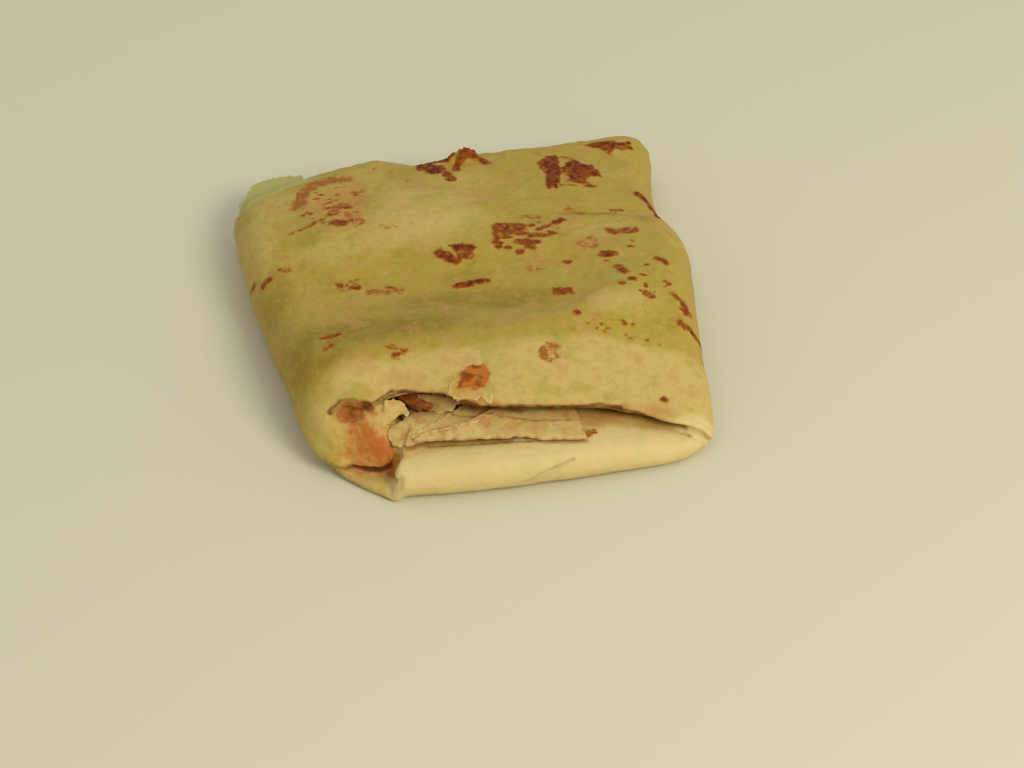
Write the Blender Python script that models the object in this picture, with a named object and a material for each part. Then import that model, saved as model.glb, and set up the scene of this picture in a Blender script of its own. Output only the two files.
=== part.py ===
"""A filled paratha: one flatbread folded round its filling into a flat packet, open along its front.

Metres, +Z up. X runs across the packet, +Y from the open front to the folded back.
The origin is on the surface it lies on, under the middle of the whole packet.
"""

import math

import bmesh
import bpy

# Driving sizes
GAP = 0.0003  # air between two pieces that touch
PLY = 0.0030  # thickness of the folded bread at its lip
WALL = 0.0045  # bread above the filling
SHEET = 0.0013  # thickness of the thin inner layers
LAYER_LIFT = 0.0005  # air under the lower of them
SIDE_ROUND = 0.0100  # how far in from a side edge the packet reaches its full height
CORE_FLOOR = 0.0085  # height of the bread under the filling
FLOOR_START, FLOOR_RUN = 0.0060, 0.0360  # behind the shelf the floor starts to fall here, and over this depth
CEILING_RUN = 0.0120  # depth over which the bread thickens from the lip to the wall
CORE_BACK = 0.0540  # how far back the hollow for the filling reaches
CORE_LEFT, CORE_RIGHT = 0.10, 0.95  # its ends, as shares of the width
STATIONS = 46  # sections across the width
BASE_POINTS, SHELF_POINTS = 8, 10  # points of each section on the base, and in front of the lip
FOOT_CORNERS, FOOT_LIFT, FOOT_SLOPE = 10, 0.0004, 0.12  # the flat face it rests on, and how it lifts off outside that

# The packet's plan. Side edges as (depth, x) pairs.
LEFT_SIDE = ((-0.090, -0.0500), (-0.079, -0.0555), (-0.064, -0.0625), (-0.036, -0.0667),
             (0.002, -0.0716), (0.041, -0.0742), (0.066, -0.0728), (0.080, -0.0660))
RIGHT_SIDE = ((-0.096, 0.0680), (-0.080, 0.0712), (-0.042, 0.0752), (0.000, 0.0818), (0.014, 0.0803),
              (0.028, 0.0768), (0.034, 0.0766), (0.058, 0.0815), (0.076, 0.0848))

# Lines that run across the packet: (share of the width, depth, height) of each.
FRONT = ((0.0, -0.0700, 0.0035), (0.045, -0.0830, 0.0035), (0.090, -0.0918, 0.0036), (0.125, -0.0940, 0.0122),
         (0.16, -0.0946, 0.0132), (0.25, -0.0958, 0.0134),
         (0.45, -0.0972, 0.0136), (0.60, -0.0970, 0.0130), (0.75, -0.0962, 0.0116), (0.90, -0.0945, 0.0088),
         (1.0, -0.0880, 0.0060))
SHELF = ((0.0, -0.0690, 0.0150), (0.15, -0.0690, 0.0150), (0.45, -0.0790, 0.0150), (0.60, -0.0820, 0.0142),
         (0.75, -0.0835, 0.0122), (0.88, -0.0890, 0.0095), (1.0, -0.0930, 0.0068))
LIP = ((0.0, -0.0650, 0.0190), (0.07, -0.0645, 0.0212), (0.13, -0.0695, 0.0228), (0.22, -0.0655, 0.0238),
       (0.36, -0.0730, 0.0242), (0.44, -0.0775, 0.0240), (0.58, -0.0805, 0.0226), (0.72, -0.0815, 0.0200),
       (0.86, -0.0870, 0.0158), (1.0, -0.0915, 0.0105))
EDGE = ((0.15, -0.0818), (0.24, -0.0834), (0.38, -0.0863), (0.53, -0.0888), (0.65, -0.0902))  # of the thin layers
CREST = ((0.0, -0.0380, 0.0245), (0.12, -0.0450, 0.0288), (0.45, -0.0450, 0.0296), (0.65, -0.0450, 0.0292),
         (0.82, -0.0360, 0.0284), (1.0, -0.0340, 0.0250))
VALLEY = ((0.0, -0.0050, 0.0215), (0.12, -0.0060, 0.0222), (0.40, -0.0090, 0.0224), (0.55, -0.0220, 0.0236),
          (0.68, -0.0290, 0.0258), (0.85, -0.0080, 0.0268), (1.0, 0.0020, 0.0240))
SADDLE = ((0.0, 0.0300, 0.0220), (0.20, 0.0300, 0.0250), (0.50, 0.0280, 0.0258), (0.80, 0.0280, 0.0236),
          (1.0, 0.0260, 0.0205))
BACK = ((0.0, 0.0590, 0.0170), (0.05, 0.0665, 0.0185), (0.12, 0.0705, 0.0200), (0.22, 0.0735, 0.0208),
        (0.33, 0.0765, 0.0212), (0.44, 0.0702, 0.0206), (0.53, 0.0730, 0.0206), (0.72, 0.0732, 0.0202),
        (0.90, 0.0742, 0.0196), (0.965, 0.0744, 0.0188), (1.0, 0.0728, 0.0172))

# The folded-in left side shows below the lip as a rounded cheek
CHEEK_REACH = 0.0140  # how far it comes forward of the lip
LOW_LAYER, LOW_RISE = 0.0035, 0.0012  # height of the layer under the cheek, and how much it rises inwards
CHEEK_END, CHEEK_SLANT, BLEND = 0.219, 0.048, 0.014  # shares of the width
BAND_FOOT, BAND_HEAD, BAND_SLANT = 0.092, 0.155, 0.0150  # its slanted left end, at the front and this far behind it
MOUTH_START, MOUTH_OPEN = 0.03, 0.10  # where the lip leaves the cheek, and where it is clear of it
# The lower ply at the back: how far it stands out past the upper one, and its ragged edge
PLY_STEP, PLY_STEP_END, PLY_STEP_BLEND = 0.0056, 0.38, 0.10
LEDGE_DROP = 0.0046  # from the upper face down to the lower ply
RAGGED = 0.0006
# A torn tongue of the lip hangs over the mouth
TONGUE_AT, TONGUE_HALF, TONGUE_DROP, TONGUE_ROOT = 0.375, 0.040, 0.0022, 0.0060
# A fold line runs in from the notch in the right side
CREASE_FROM, CREASE_TO, CREASE_DEPTH, CREASE_HALF = (0.040, 0.0285), (0.080, 0.0190), 0.0022, 0.0045

# The thin inner layers in the mouth, as shares of the width
LAYER_LEFT_FRONT, LAYER_LEFT_BACK, LAYER_RIGHT, LAYER_BACK = 0.174, 0.222, 0.445, 0.0480
LAYER_INSET = 0.0016  # how far behind the flap's edge its own edge is, where the flap covers it
FLAP_LEFT_FRONT, FLAP_LEFT_BACK, FLAP_RIGHT, FLAP_BACK = 0.195, 0.430, 0.640, 0.0500
FILL_LEFT, FILL_RIGHT, FILL_BACK, FILL_INSET = 0.175, 0.865, 0.0505, 0.0062
FLAP_COVER = 0.37  # from here to the flap's hidden left side the filling climbs onto it
MORSEL_AT, MORSEL_HALF, MORSEL_REACH = 0.266, 0.034, 0.0092  # the bit of filling that shows
UNEVEN, UNEVEN_WAVES = 0.0010, 97.0  # of the filling's front


def smooth(x):
    """0 to 1 with an easy start and end."""
    x = min(max(x, 0.0), 1.0)
    return x * x * (3.0 - 2.0 * x)


def through(points, x, column=1):
    """A smooth line through the points, read at x: cubic, with slopes from the neighbours."""
    if x <= points[0][0]:
        return points[0][column]
    if x >= points[-1][0]:
        return points[-1][column]
    i = max(k for k in range(len(points) - 1) if points[k][0] <= x)

    def slope(k):
        a, b = max(k - 1, 0), min(k + 1, len(points) - 1)
        return (points[b][column] - points[a][column]) / (points[b][0] - points[a][0])

    x0, x1 = points[i][0], points[i + 1][0]
    t, run = (x - x0) / (x1 - x0), x1 - x0
    return ((2 * t**3 - 3 * t**2 + 1) * points[i][column] + (t**3 - 2 * t**2 + t) * run * slope(i)
            + (3 * t**2 - 2 * t**3) * points[i + 1][column] + (t**3 - t**2) * run * slope(i + 1))


def across(share, y):
    """The x of a share of the width at a depth y."""
    left, right = through(LEFT_SIDE, y), through(RIGHT_SIDE, y)
    return left + (right - left) * share


def tongue(share):
    """How much of the torn tongue there is at a share of the width."""
    return smooth(1.6 * (1.0 - abs(share - TONGUE_AT) / TONGUE_HALF))


def lip(share):
    """Depth and height of the lip, with its torn tongue."""
    drop = TONGUE_DROP * tongue(share)
    return through(LIP, share) - drop, through(LIP, share, 2) - 0.6 * drop


def crease(x, y):
    """How deep the fold line is at a point."""
    (x0, y0), (x1, y1) = CREASE_FROM, CREASE_TO
    run = math.hypot(x1 - x0, y1 - y0)
    along = ((x - x0) * (x1 - x0) + (y - y0) * (y1 - y0)) / run
    off = ((y - y0) * (x1 - x0) - (x - x0) * (y1 - y0)) / run
    return CREASE_DEPTH * smooth(along / run) * math.exp(-((off / CREASE_HALF) ** 2))


def top(share, y):
    """Height of the upper face from the lip to the back."""
    lip_y, lip_z = through(LIP, share), through(LIP, share, 2)
    line = [(lip_y, lip_z)] + [(through(k, share), through(k, share, 2)) for k in (CREST, VALLEY, SADDLE, BACK)]
    return through(line, y) - crease(across(share, y), y)


def band_start(share, y):
    """1 where the front band is, 0 left of its slanted end."""
    behind = smooth((y - through(FRONT, share)) / BAND_SLANT)
    return smooth((share - BAND_FOOT - (BAND_HEAD - BAND_FOOT) * behind) / BLEND)


def floor(share, y):
    """Height of the bread that the inner layers lie on, from the front band to the back of the hollow."""
    front_y, front_z = through(FRONT, share), through(FRONT, share, 2)
    shelf_y, shelf_z = through(SHELF, share), through(SHELF, share, 2)
    crown = front_y + front_z * 0.5
    if y <= shelf_y:
        return front_z + (shelf_z - front_z) * smooth((y - crown) / (shelf_y - crown))
    return shelf_z + (CORE_FLOOR - shelf_z) * smooth((y - shelf_y - FLOOR_START) / FLOOR_RUN)


def ceiling(share, y):
    """Height of the underside of the bread above the hollow."""
    lip_y, lip_z = through(LIP, share), through(LIP, share, 2)
    under_lip = lip_z - PLY
    deep = top(share, max(y, lip_y)) - WALL
    return under_lip + (deep - under_lip) * smooth((y - lip_y) / CEILING_RUN)


def lip_open(share):
    """0 at the left side, where the lip runs into the cheek, 1 where the mouth is open."""
    return smooth((share - MOUTH_START) / (MOUTH_OPEN - MOUTH_START))


def apron(share, y):
    """Height of the bread in front of the lip: the cheek, the low layer under it and the front band."""
    lip_y = through(LIP, share)
    low = LOW_LAYER + LOW_RISE * smooth((y - lip_y + CHEEK_REACH) / CHEEK_REACH)
    band = low + (floor(share, y) - 0.0002 - low) * band_start(share, y)
    forward = min(max((lip_y + 0.002 - y) / CHEEK_REACH, 0.0), 1.0)
    height = through(LIP, share, 2) - PLY * lip_open(share) - GAP
    cheek = height * math.sqrt(1.0 - forward**2) * smooth((CHEEK_END - CHEEK_SLANT * forward - share) / 0.03)
    return max(band, cheek)


def lower_back(share):
    """Depth of the lower ply's ragged edge."""
    ragged = RAGGED * (math.sin(41.0 * share) + math.sin(67.0 * share + 1.0) + math.sin(113.0 * share))
    return through(BACK, share) + PLY_STEP * smooth((PLY_STEP_END - share) / PLY_STEP_BLEND) + ragged


def back_fold(share):
    """The back of the outline, upwards: the lower ply, the groove over it and the upper ply."""
    low_y, back_y, back_z = lower_back(share), through(BACK, share), through(BACK, share, 2)
    ledge_z = back_z - LEDGE_DROP
    return [(low_y - 0.0022, 0.0022), (low_y - 0.0010, 0.5 * ledge_z), (low_y, ledge_z - 0.0018),
            (low_y - 0.0010, ledge_z), (back_y - 0.0032, ledge_z + 0.0004), (back_y - 0.0008, ledge_z + 0.0012),
            (back_y, back_z - 0.0022), (back_y - 0.0014, back_z - 0.0006)]


def upper_face(share):
    """The top of the outline, from the back to just behind the lip."""
    lip_y, lip_z = lip(share)
    crest_y, valley_y, saddle_y = (through(k, share) for k in (CREST, VALLEY, SADDLE))
    depths = []
    for start, stop, steps in ((through(BACK, share) - 0.004, saddle_y, 9), (saddle_y, valley_y, 8),
                               (valley_y, crest_y, 8), (crest_y, lip_y + 0.0018, 9)):
        depths += [start + (stop - start) * k / steps for k in range(steps)]
    plain_y, plain_z = through(LIP, share), through(LIP, share, 2)
    return [(y, top(share, y) + (lip_z - plain_z) * smooth((plain_y - y) / TONGUE_ROOT + 1.0)) for y in depths]


def lip_edge(share):
    """The rounded edge of the lip, and the wall under it that the hollow then opens."""
    (lip_y, lip_z), mouth = lip(share), lip_open(share)
    wall_y = through(LIP, share) + 0.0015 * mouth - 0.0004
    wall_z = max(lip_z - 0.0007 - (PLY - 0.0004) * mouth, apron(share, wall_y) + 0.0002)
    return [(lip_y + 0.0004, lip_z - 0.0002 - 0.0002 * mouth), (lip_y, lip_z - 0.0004 - 0.0010 * mouth),
            (lip_y + 0.0006 * mouth - 0.0002, lip_z - 0.0006 - 0.0020 * mouth), (wall_y, wall_z)]


def front_band(share, half):
    """From the foot of the wall forward over the cheek or the band, and round the front fold of radius half."""
    front_y, shelf_y = through(FRONT, share), lip_edge(share)[-1][0]
    run = front_y + half - shelf_y
    shelf = [shelf_y + run * k / (SHELF_POINTS - 1) for k in range(SHELF_POINTS)]
    turns = [math.radians(degrees) for degrees in (60, 30, 0, -30, -60)]
    return ([(y, apron(share, y)) for y in shelf]
            + [(front_y + half * (1.0 - math.cos(turn)), half * (1.0 + math.sin(turn))) for turn in turns])


def section(share):
    """The packet's outline at a share of the width, as (depth, height), closed, base first, front to back."""
    front_y = through(FRONT, share)
    half = 0.5 * apron(share, front_y + 0.5 * through(FRONT, share, 2))
    base_from, base_to = front_y + half, lower_back(share) - 0.004
    base = [(base_from + (base_to - base_from) * k / (BASE_POINTS - 1), 0.0) for k in range(BASE_POINTS)]
    return base + back_fold(share) + upper_face(share) + lip_edge(share) + front_band(share, half)


def rise(share):
    """How full the packet's height is near its side edges, from 0 to 1."""
    width = across(1.0, 0.0) - across(0.0, 0.0)
    inward = min(min(share, 1.0 - share) * width / SIDE_ROUND, 1.0)
    return math.sqrt(1.0 - (1.0 - inward) ** 2)


def station_shares():
    """Where the sections are: close together on the rounded sides and at the left end of the front band."""
    side = [0.0015, 0.006, 0.015, 0.030, 0.048]
    inner = 0.065
    even = [inner + (1.0 - 2 * inner) * k / (STATIONS - 1) for k in range(STATIONS)]
    steps = 10
    band_end = [BAND_FOOT + (BAND_HEAD + BLEND - BAND_FOOT) * k / steps for k in range(steps + 1)]
    clear = [share for share in even if not BAND_FOOT - 0.004 < share < BAND_HEAD + BLEND + 0.004]
    return sorted(side + clear + band_end + [1.0 - share for share in side])


def mesh_object(name, points, faces, material):
    """A new object of the mesh, its doubles merged and its faces pointing outwards."""
    shape = bmesh.new()
    corners = [shape.verts.new(p) for p in points]
    for face in faces:
        shape.faces.new([corners[i] for i in face])
    bmesh.ops.remove_doubles(shape, verts=shape.verts, dist=0.00001)
    bmesh.ops.recalc_face_normals(shape, faces=shape.faces)
    mesh = bpy.data.meshes.new(name)
    shape.to_mesh(mesh)
    shape.free()
    mesh.materials.append(material)
    mesh.shade_smooth()
    mesh.set_sharp_from_angle(angle=math.radians(50))
    made = bpy.data.objects.new(name, mesh)
    bpy.context.scene.collection.objects.link(made)
    return made


def end_faces(loop, corners, low_count):
    """Triangles that fill an end of a loft, between the loop's first corners and the rest, in order of depth."""
    low, high = corners[:low_count], [corners[0]] + corners[:low_count - 1:-1] + [corners[low_count - 1]]
    depth = {corner: loop[k][1] for k, corner in enumerate(corners)}
    faces, i, j = [], 0, 0
    while i < len(low) - 1 or j < len(high) - 1:
        if j == len(high) - 1 or (i < len(low) - 1 and depth[low[i + 1]] < depth[high[j + 1]]):
            face = (low[i], low[i + 1], high[j])
            i += 1
        else:
            face = (low[i], high[j + 1], high[j])
            j += 1
        if len(set(face)) == 3:
            faces.append(face)
    return faces


def loft(name, loops, material, low_count):
    """A closed solid through loops of equal length, with both ends filled."""
    count = len(loops[0])
    points = [p for loop in loops for p in loop]
    faces = []
    for i in range(len(loops) - 1):
        for j in range(count):
            k = (j + 1) % count
            faces.append((i * count + j, i * count + k, (i + 1) * count + k, (i + 1) * count + j))
    for i in (0, len(loops) - 1):
        faces += end_faces(loops[i], [i * count + j for j in range(count)], low_count)
    return mesh_object(name, points, faces, material)


def slab(name, rows, material):
    """A closed solid between two faces. Each row is a list of (x, y, low z, high z)."""
    loops = []
    for row in rows:
        loops.append([(x, y, low) for x, y, low, high in row] + [(x, y, high) for x, y, low, high in reversed(row)])
    return loft(name, loops, material, len(rows[0]))


def material(name, colour, roughness):
    made = bpy.data.materials.new(name)
    made.use_nodes = True
    shader = made.node_tree.nodes["Principled BSDF"]
    shader.inputs["Base Color"].default_value = (*colour, 1.0)
    shader.inputs["Roughness"].default_value = roughness
    shader.inputs["Metallic"].default_value = 0.0
    return made


def lift_off(loops):
    """The base rests on a plain flat face with few corners, and lifts a little outside it."""
    base = [(i, j) for i, loop in enumerate(loops) for j in range(BASE_POINTS)]
    flat = [loops[i][j] for i, j in base if loops[i][j][2] < 0.00001]
    corners = []
    for k in range(FOOT_CORNERS):
        turn = 2.0 * math.pi * (k + 0.5) / FOOT_CORNERS
        corners.append(max(flat, key=lambda p: p[0] * math.cos(turn) + p[1] * math.sin(turn)))
    for i, j in base:
        x, y, z = loops[i][j]
        outside = 0.0
        for k, (x1, y1, _) in enumerate(corners):
            x0, y0, _ = corners[k - 1]
            run = math.hypot(x1 - x0, y1 - y0)
            if run > 0.001:
                outside = max(outside, ((x - x0) * (y1 - y0) - (y - y0) * (x1 - x0)) / run)
        if outside > 0.00005:
            loops[i][j] = (x, y, z + FOOT_LIFT + FOOT_SLOPE * outside)


def folded_bread(finish):
    """The whole folded flatbread, before the hollow for its filling is cut."""
    loops = []
    for share in station_shares():
        rising = rise(share)
        loop = []
        for y, z in section(share):
            middle = 0.45 * max(z, apron(share, y) if y < lip(share)[0] else top(share, min(y, through(BACK, share))))
            loop.append((across(share, y), y, middle + (z - middle) * rising))
        loops.append(loop)
    lift_off(loops)
    return loft("bread", loops, finish, BASE_POINTS)


def hollow(finish):
    """The space inside the fold, open at the mouth. It cuts the bread."""
    rows = []
    count = 26
    for i in range(count + 1):
        share = CORE_LEFT + (CORE_RIGHT - CORE_LEFT) * i / count
        end = min(i, count - i) / 1.5
        low_y = through(LIP, share) + 0.0010
        row = []
        for j in range(17):
            y = low_y + (CORE_BACK - low_y) * (j / 16.0) ** 1.4
            low, high = floor(share, y), ceiling(share, y)
            middle = 0.5 * (low + high)
            half = max(0.5 * (high - low), 0.0004) * (0.35 + 0.65 * math.sqrt(min(end, 1.0)))
            row.append((across(share, y), y, middle - half, middle + half))
        rows.append(row)
    cutter = slab("hollow_cutter", rows, finish)
    cutter.hide_render = True
    cutter.display_type = "WIRE"
    return cutter


def sheet(name, left, right, back, lift, inset, finish):
    """A thin layer on the floor of the hollow, from the front band to the back."""
    rows = []
    across_steps, deep_steps = 14, 18
    for i in range(across_steps + 1):
        row = []
        for j in range(deep_steps + 1):
            deep = (j / deep_steps) ** 1.3
            guess = (left(deep) + (right - left(deep)) * i / across_steps)
            front = through(EDGE, guess) + inset * smooth((guess - FLAP_LEFT_FRONT) / 0.03)
            y = front + (back - front) * deep
            low = floor(guess, y) + lift(guess)
            row.append((across(guess, y), y, low, low + SHEET))
        rows.append(row)
    return slab(name, rows, finish)


def inner_layer(finish):
    """The thin layer at the left of the mouth."""

    def left(deep):
        return LAYER_LEFT_FRONT + (LAYER_LEFT_BACK - LAYER_LEFT_FRONT) * smooth(deep / 0.06)

    return sheet("inner_layer", left, LAYER_RIGHT, LAYER_BACK, lambda share: LAYER_LIFT, LAYER_INSET, finish)


def flap_lift(share):
    """How far above the floor the flap lies: over the layer at the left, on the floor at the right."""
    return LAYER_LIFT + (SHEET + 2 * GAP) * (1.0 - smooth((share - LAYER_RIGHT - 0.01) / 0.08))


def inner_flap(finish):
    """The straight-ended flap at the right, which lies over the layer's edge."""

    def left(deep):
        return FLAP_LEFT_FRONT + (FLAP_LEFT_BACK - FLAP_LEFT_FRONT) * smooth(deep / 0.09)

    return sheet("inner_flap", left, FLAP_RIGHT, FLAP_BACK, flap_lift, 0.0, finish)


def cover(share):
    """Height of the thin layers under the filling, above the floor."""
    on_flap = smooth((share - FLAP_COVER) / (FLAP_LEFT_BACK - 0.01 - FLAP_COVER))
    height = SHEET + LAYER_LIFT + (flap_lift(share) - LAYER_LIFT) * on_flap
    return height * (1.0 - smooth((share - FLAP_RIGHT - 0.012) / 0.05))


def filling(finish):
    """The filling, from just inside the mouth to the back of the hollow."""
    rows = []
    across_steps, deep_steps = 30, 12
    for i in range(across_steps + 1):
        share = FILL_LEFT + (FILL_RIGHT - FILL_LEFT) * i / across_steps
        morsel = smooth(1.5 * (1.0 - abs(share - MORSEL_AT) / MORSEL_HALF))
        front = through(LIP, share) + FILL_INSET - MORSEL_REACH * morsel + UNEVEN * math.sin(UNEVEN_WAVES * share)
        row = []
        for j in range(deep_steps + 1):
            y = front + (FILL_BACK - front) * (j / deep_steps) ** 1.3
            low = floor(share, y) + 2 * GAP + cover(share)
            high = ceiling(share, y) - 4 * GAP
            row.append((across(share, y), y, low, max(high, low + 0.0006)))
        rows.append(row)
    return slab("filling", rows, finish)


def main():
    for old in list(bpy.data.objects):
        bpy.data.objects.remove(old)
    crumb = material("cooked_bread", (0.62, 0.47, 0.22), 0.62)
    thin = material("thin_bread", (0.66, 0.50, 0.30), 0.55)
    sauced = material("spiced_filling", (0.42, 0.17, 0.07), 0.50)

    bread = folded_bread(crumb)
    cut = bread.modifiers.new("hollow", "BOOLEAN")
    cut.operation = "DIFFERENCE"
    cut.solver = "EXACT"
    cut.object = hollow(crumb)
    pieces = [bread, cut.object, inner_layer(thin), inner_flap(thin), filling(sauced)]

    corners = [v.co for v in bread.data.vertices]
    middle = [0.5 * (min(c[k] for c in corners) + max(c[k] for c in corners)) for k in (0, 1)]
    for piece in pieces:
        piece.location = (-middle[0], -middle[1], 0.0)


main()
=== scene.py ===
"""The looks of a filled paratha: one folded flatbread with charred spots, open along its front.

Metres, +Z up. The part's own frame: X across the packet, +Y from the open front to the folded back.
Places of marks and folds are in millimetres, as read on the bread.
"""

import bpy
import numpy as np
from mathutils import Matrix, Vector, noise
from mathutils.bvhtree import BVHTree


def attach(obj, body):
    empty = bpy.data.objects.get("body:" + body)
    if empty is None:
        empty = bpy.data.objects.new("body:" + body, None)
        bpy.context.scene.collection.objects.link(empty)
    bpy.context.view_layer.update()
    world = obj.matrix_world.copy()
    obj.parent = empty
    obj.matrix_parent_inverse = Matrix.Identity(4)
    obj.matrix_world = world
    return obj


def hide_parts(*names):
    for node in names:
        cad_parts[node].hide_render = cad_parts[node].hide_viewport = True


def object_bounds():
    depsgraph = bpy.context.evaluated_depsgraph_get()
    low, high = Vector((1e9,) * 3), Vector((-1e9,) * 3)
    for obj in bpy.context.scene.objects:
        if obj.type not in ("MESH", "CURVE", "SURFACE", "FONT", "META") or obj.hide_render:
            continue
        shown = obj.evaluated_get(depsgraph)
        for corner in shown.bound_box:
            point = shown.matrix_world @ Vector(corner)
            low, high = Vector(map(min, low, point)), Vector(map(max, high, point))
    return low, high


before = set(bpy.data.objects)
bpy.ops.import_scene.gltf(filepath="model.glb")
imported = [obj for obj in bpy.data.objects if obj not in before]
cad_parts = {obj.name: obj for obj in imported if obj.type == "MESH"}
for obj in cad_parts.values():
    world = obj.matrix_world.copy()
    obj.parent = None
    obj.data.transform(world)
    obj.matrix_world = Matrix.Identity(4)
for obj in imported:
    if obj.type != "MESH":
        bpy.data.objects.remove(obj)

CAD_BOX = [list(corner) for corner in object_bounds()]
MM = 0.001

MARGIN = 0.00003  # how far inside the solid's box every piece stays

# The mesh of the folded bread
VOXEL = 0.00089  # grid of the bread's skin
HIDDEN_KEEP = 0.06  # share of the faces kept underneath and inside the fold
FINE_REACH = 1.0  # mm round a mark in which the skin is finer
EVEN_ROUNDS, FRONT_EVEN = 12, 0.3  # smoothing of the broad faces, and the share of it at the open front
INNER_REACH = 3.0  # mm within which the solids inside the bread are looked for
UNDERSIDE, FOLD_GAP, FOLD_FRONT = 1.4, 1.7, -56.0  # mm, hidden skin is below, or nearer the filling and behind
FRONT_START, FRONT_FADE = -52.0, 8.0  # mm, where the open front starts, and over how much it takes effect
NARROW_RUST = 1.3  # mm, half the width of the rust strokes that need a finer skin

# The meshes of the torn bits, in mm
TORN_GRID = 0.42  # between their points
SINK_REACH, REST_GAP = 3.0, 0.35  # how near the bread they rest on it, and the gap left under them
EDGE_GAP, ROOT_DEPTH = 0.30, 0.5  # how much higher their edge lies, and how deep their root is sunk
DROP_HEIGHT = 40.0  # from where they are dropped on the bread
DRAPE_ROUNDS = (8, 4, 0)  # laid down and then smoothed this often, one round after another

# Camera, light and floor
CAMERA_PLACE = (-0.11244, -0.76994, 0.59733)
CAMERA_LOOK = (0.1232699, 0.7712454, -0.6244879)
CAMERA_UP = (0.1376261, 0.6099202, 0.7804207)
CAMERA_LENS, SENSOR = 98.4727, 36.0
KEY_PLACE, KEY_SIZE, KEY_POWER, KEY_COLOUR = (0.66, -1.05, 0.98), 0.7, 13.5, (1.0, 0.97, 0.90)
SKY_COLOUR, SKY_STRENGTH = (1.0, 0.985, 0.94, 1.0), 0.62
FLOOR_SIZE, FLOOR_COLOUR, FLOOR_ROUGHNESS = 6.0, (0.66, 0.63, 0.45, 1.0), 0.6

# Dough colours, linear
GOLD = (0.415, 0.293, 0.042)
OLIVE = (0.270, 0.186, 0.013)
CREAM = (0.500, 0.372, 0.088)
PALE = (0.570, 0.410, 0.125)
BAND = (0.700, 0.545, 0.235)
FILM = (0.410, 0.385, 0.120)
BLUSH = (0.500, 0.245, 0.052)
TAN = (0.440, 0.200, 0.040)
YELLOW = (0.430, 0.330, 0.014)
RUST = (0.335, 0.095, 0.006)
SCORCH_RIM = (0.380, 0.150, 0.012)
SCORCH_RED = (0.255, 0.058, 0.003)
SCORCH_DARK = (0.120, 0.019, 0.002)
SCORCH_CORE = (0.045, 0.009, 0.002)
SAUCE = (0.470, 0.118, 0.009)
# Brown of the filling's stain, also the painted shade in the gaps under the inner layers' edges
FILLING_STAIN_AND_SHADE = (0.300, 0.110, 0.022)
# Dark brown of browned seams, also the painted shade in creases and under fold edges
CREASE_BROWN_AND_SHADE = (0.120, 0.029, 0.004)
PINK_CAST = (0.480, 0.270, 0.080)
GREEN_CAST = (0.350, 0.310, 0.050)

# Colours of the thin layers and of the filling, linear
THIN_CREAM = (0.620, 0.450, 0.155)
THIN_TAN = (0.500, 0.300, 0.075)
THIN_GREEN = (0.460, 0.400, 0.130)
THIN_PINK = (0.450, 0.220, 0.080)
THIN_EDGE = (0.600, 0.420, 0.190)
THIN_SHADE = (0.170, 0.055, 0.014)
FILLING_DARK = (0.160, 0.034, 0.004)
FILLING_BROWN = (0.360, 0.110, 0.015)
FILLING_PALE = (0.460, 0.220, 0.060)

# How red, green and blue light spreads inside the food, and how much its surface shines
SCATTER_SPREAD, DOUGH_SHINE = (1.0, 0.6, 0.3), 0.16

# Fine noises of the dough: (scale to the metre, detail, roughness, distortion)
GRAIN_NOISES = {"Blotch": (95.0, 3.0, 0.6, 0.0), "Speckle": (480.0, 3.0, 0.6, 0.0),
                "Ragged": (620.0, 5.0, 0.7, 0.6)}

# Unevenness of the bread's skin: (stretch, size of its bumps in mm, height in mm, seed)
SKIN_RIPPLES = ((1.0, 21.0, 0.34, 1), (1.0, 9.0, 0.28, 2), (1.0, 4.2, 0.15, 3),
                ((0.4, 1.0, 1.0), 2.2, 0.07, 4), (1.0, 1.5, 0.04, 6))

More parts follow.
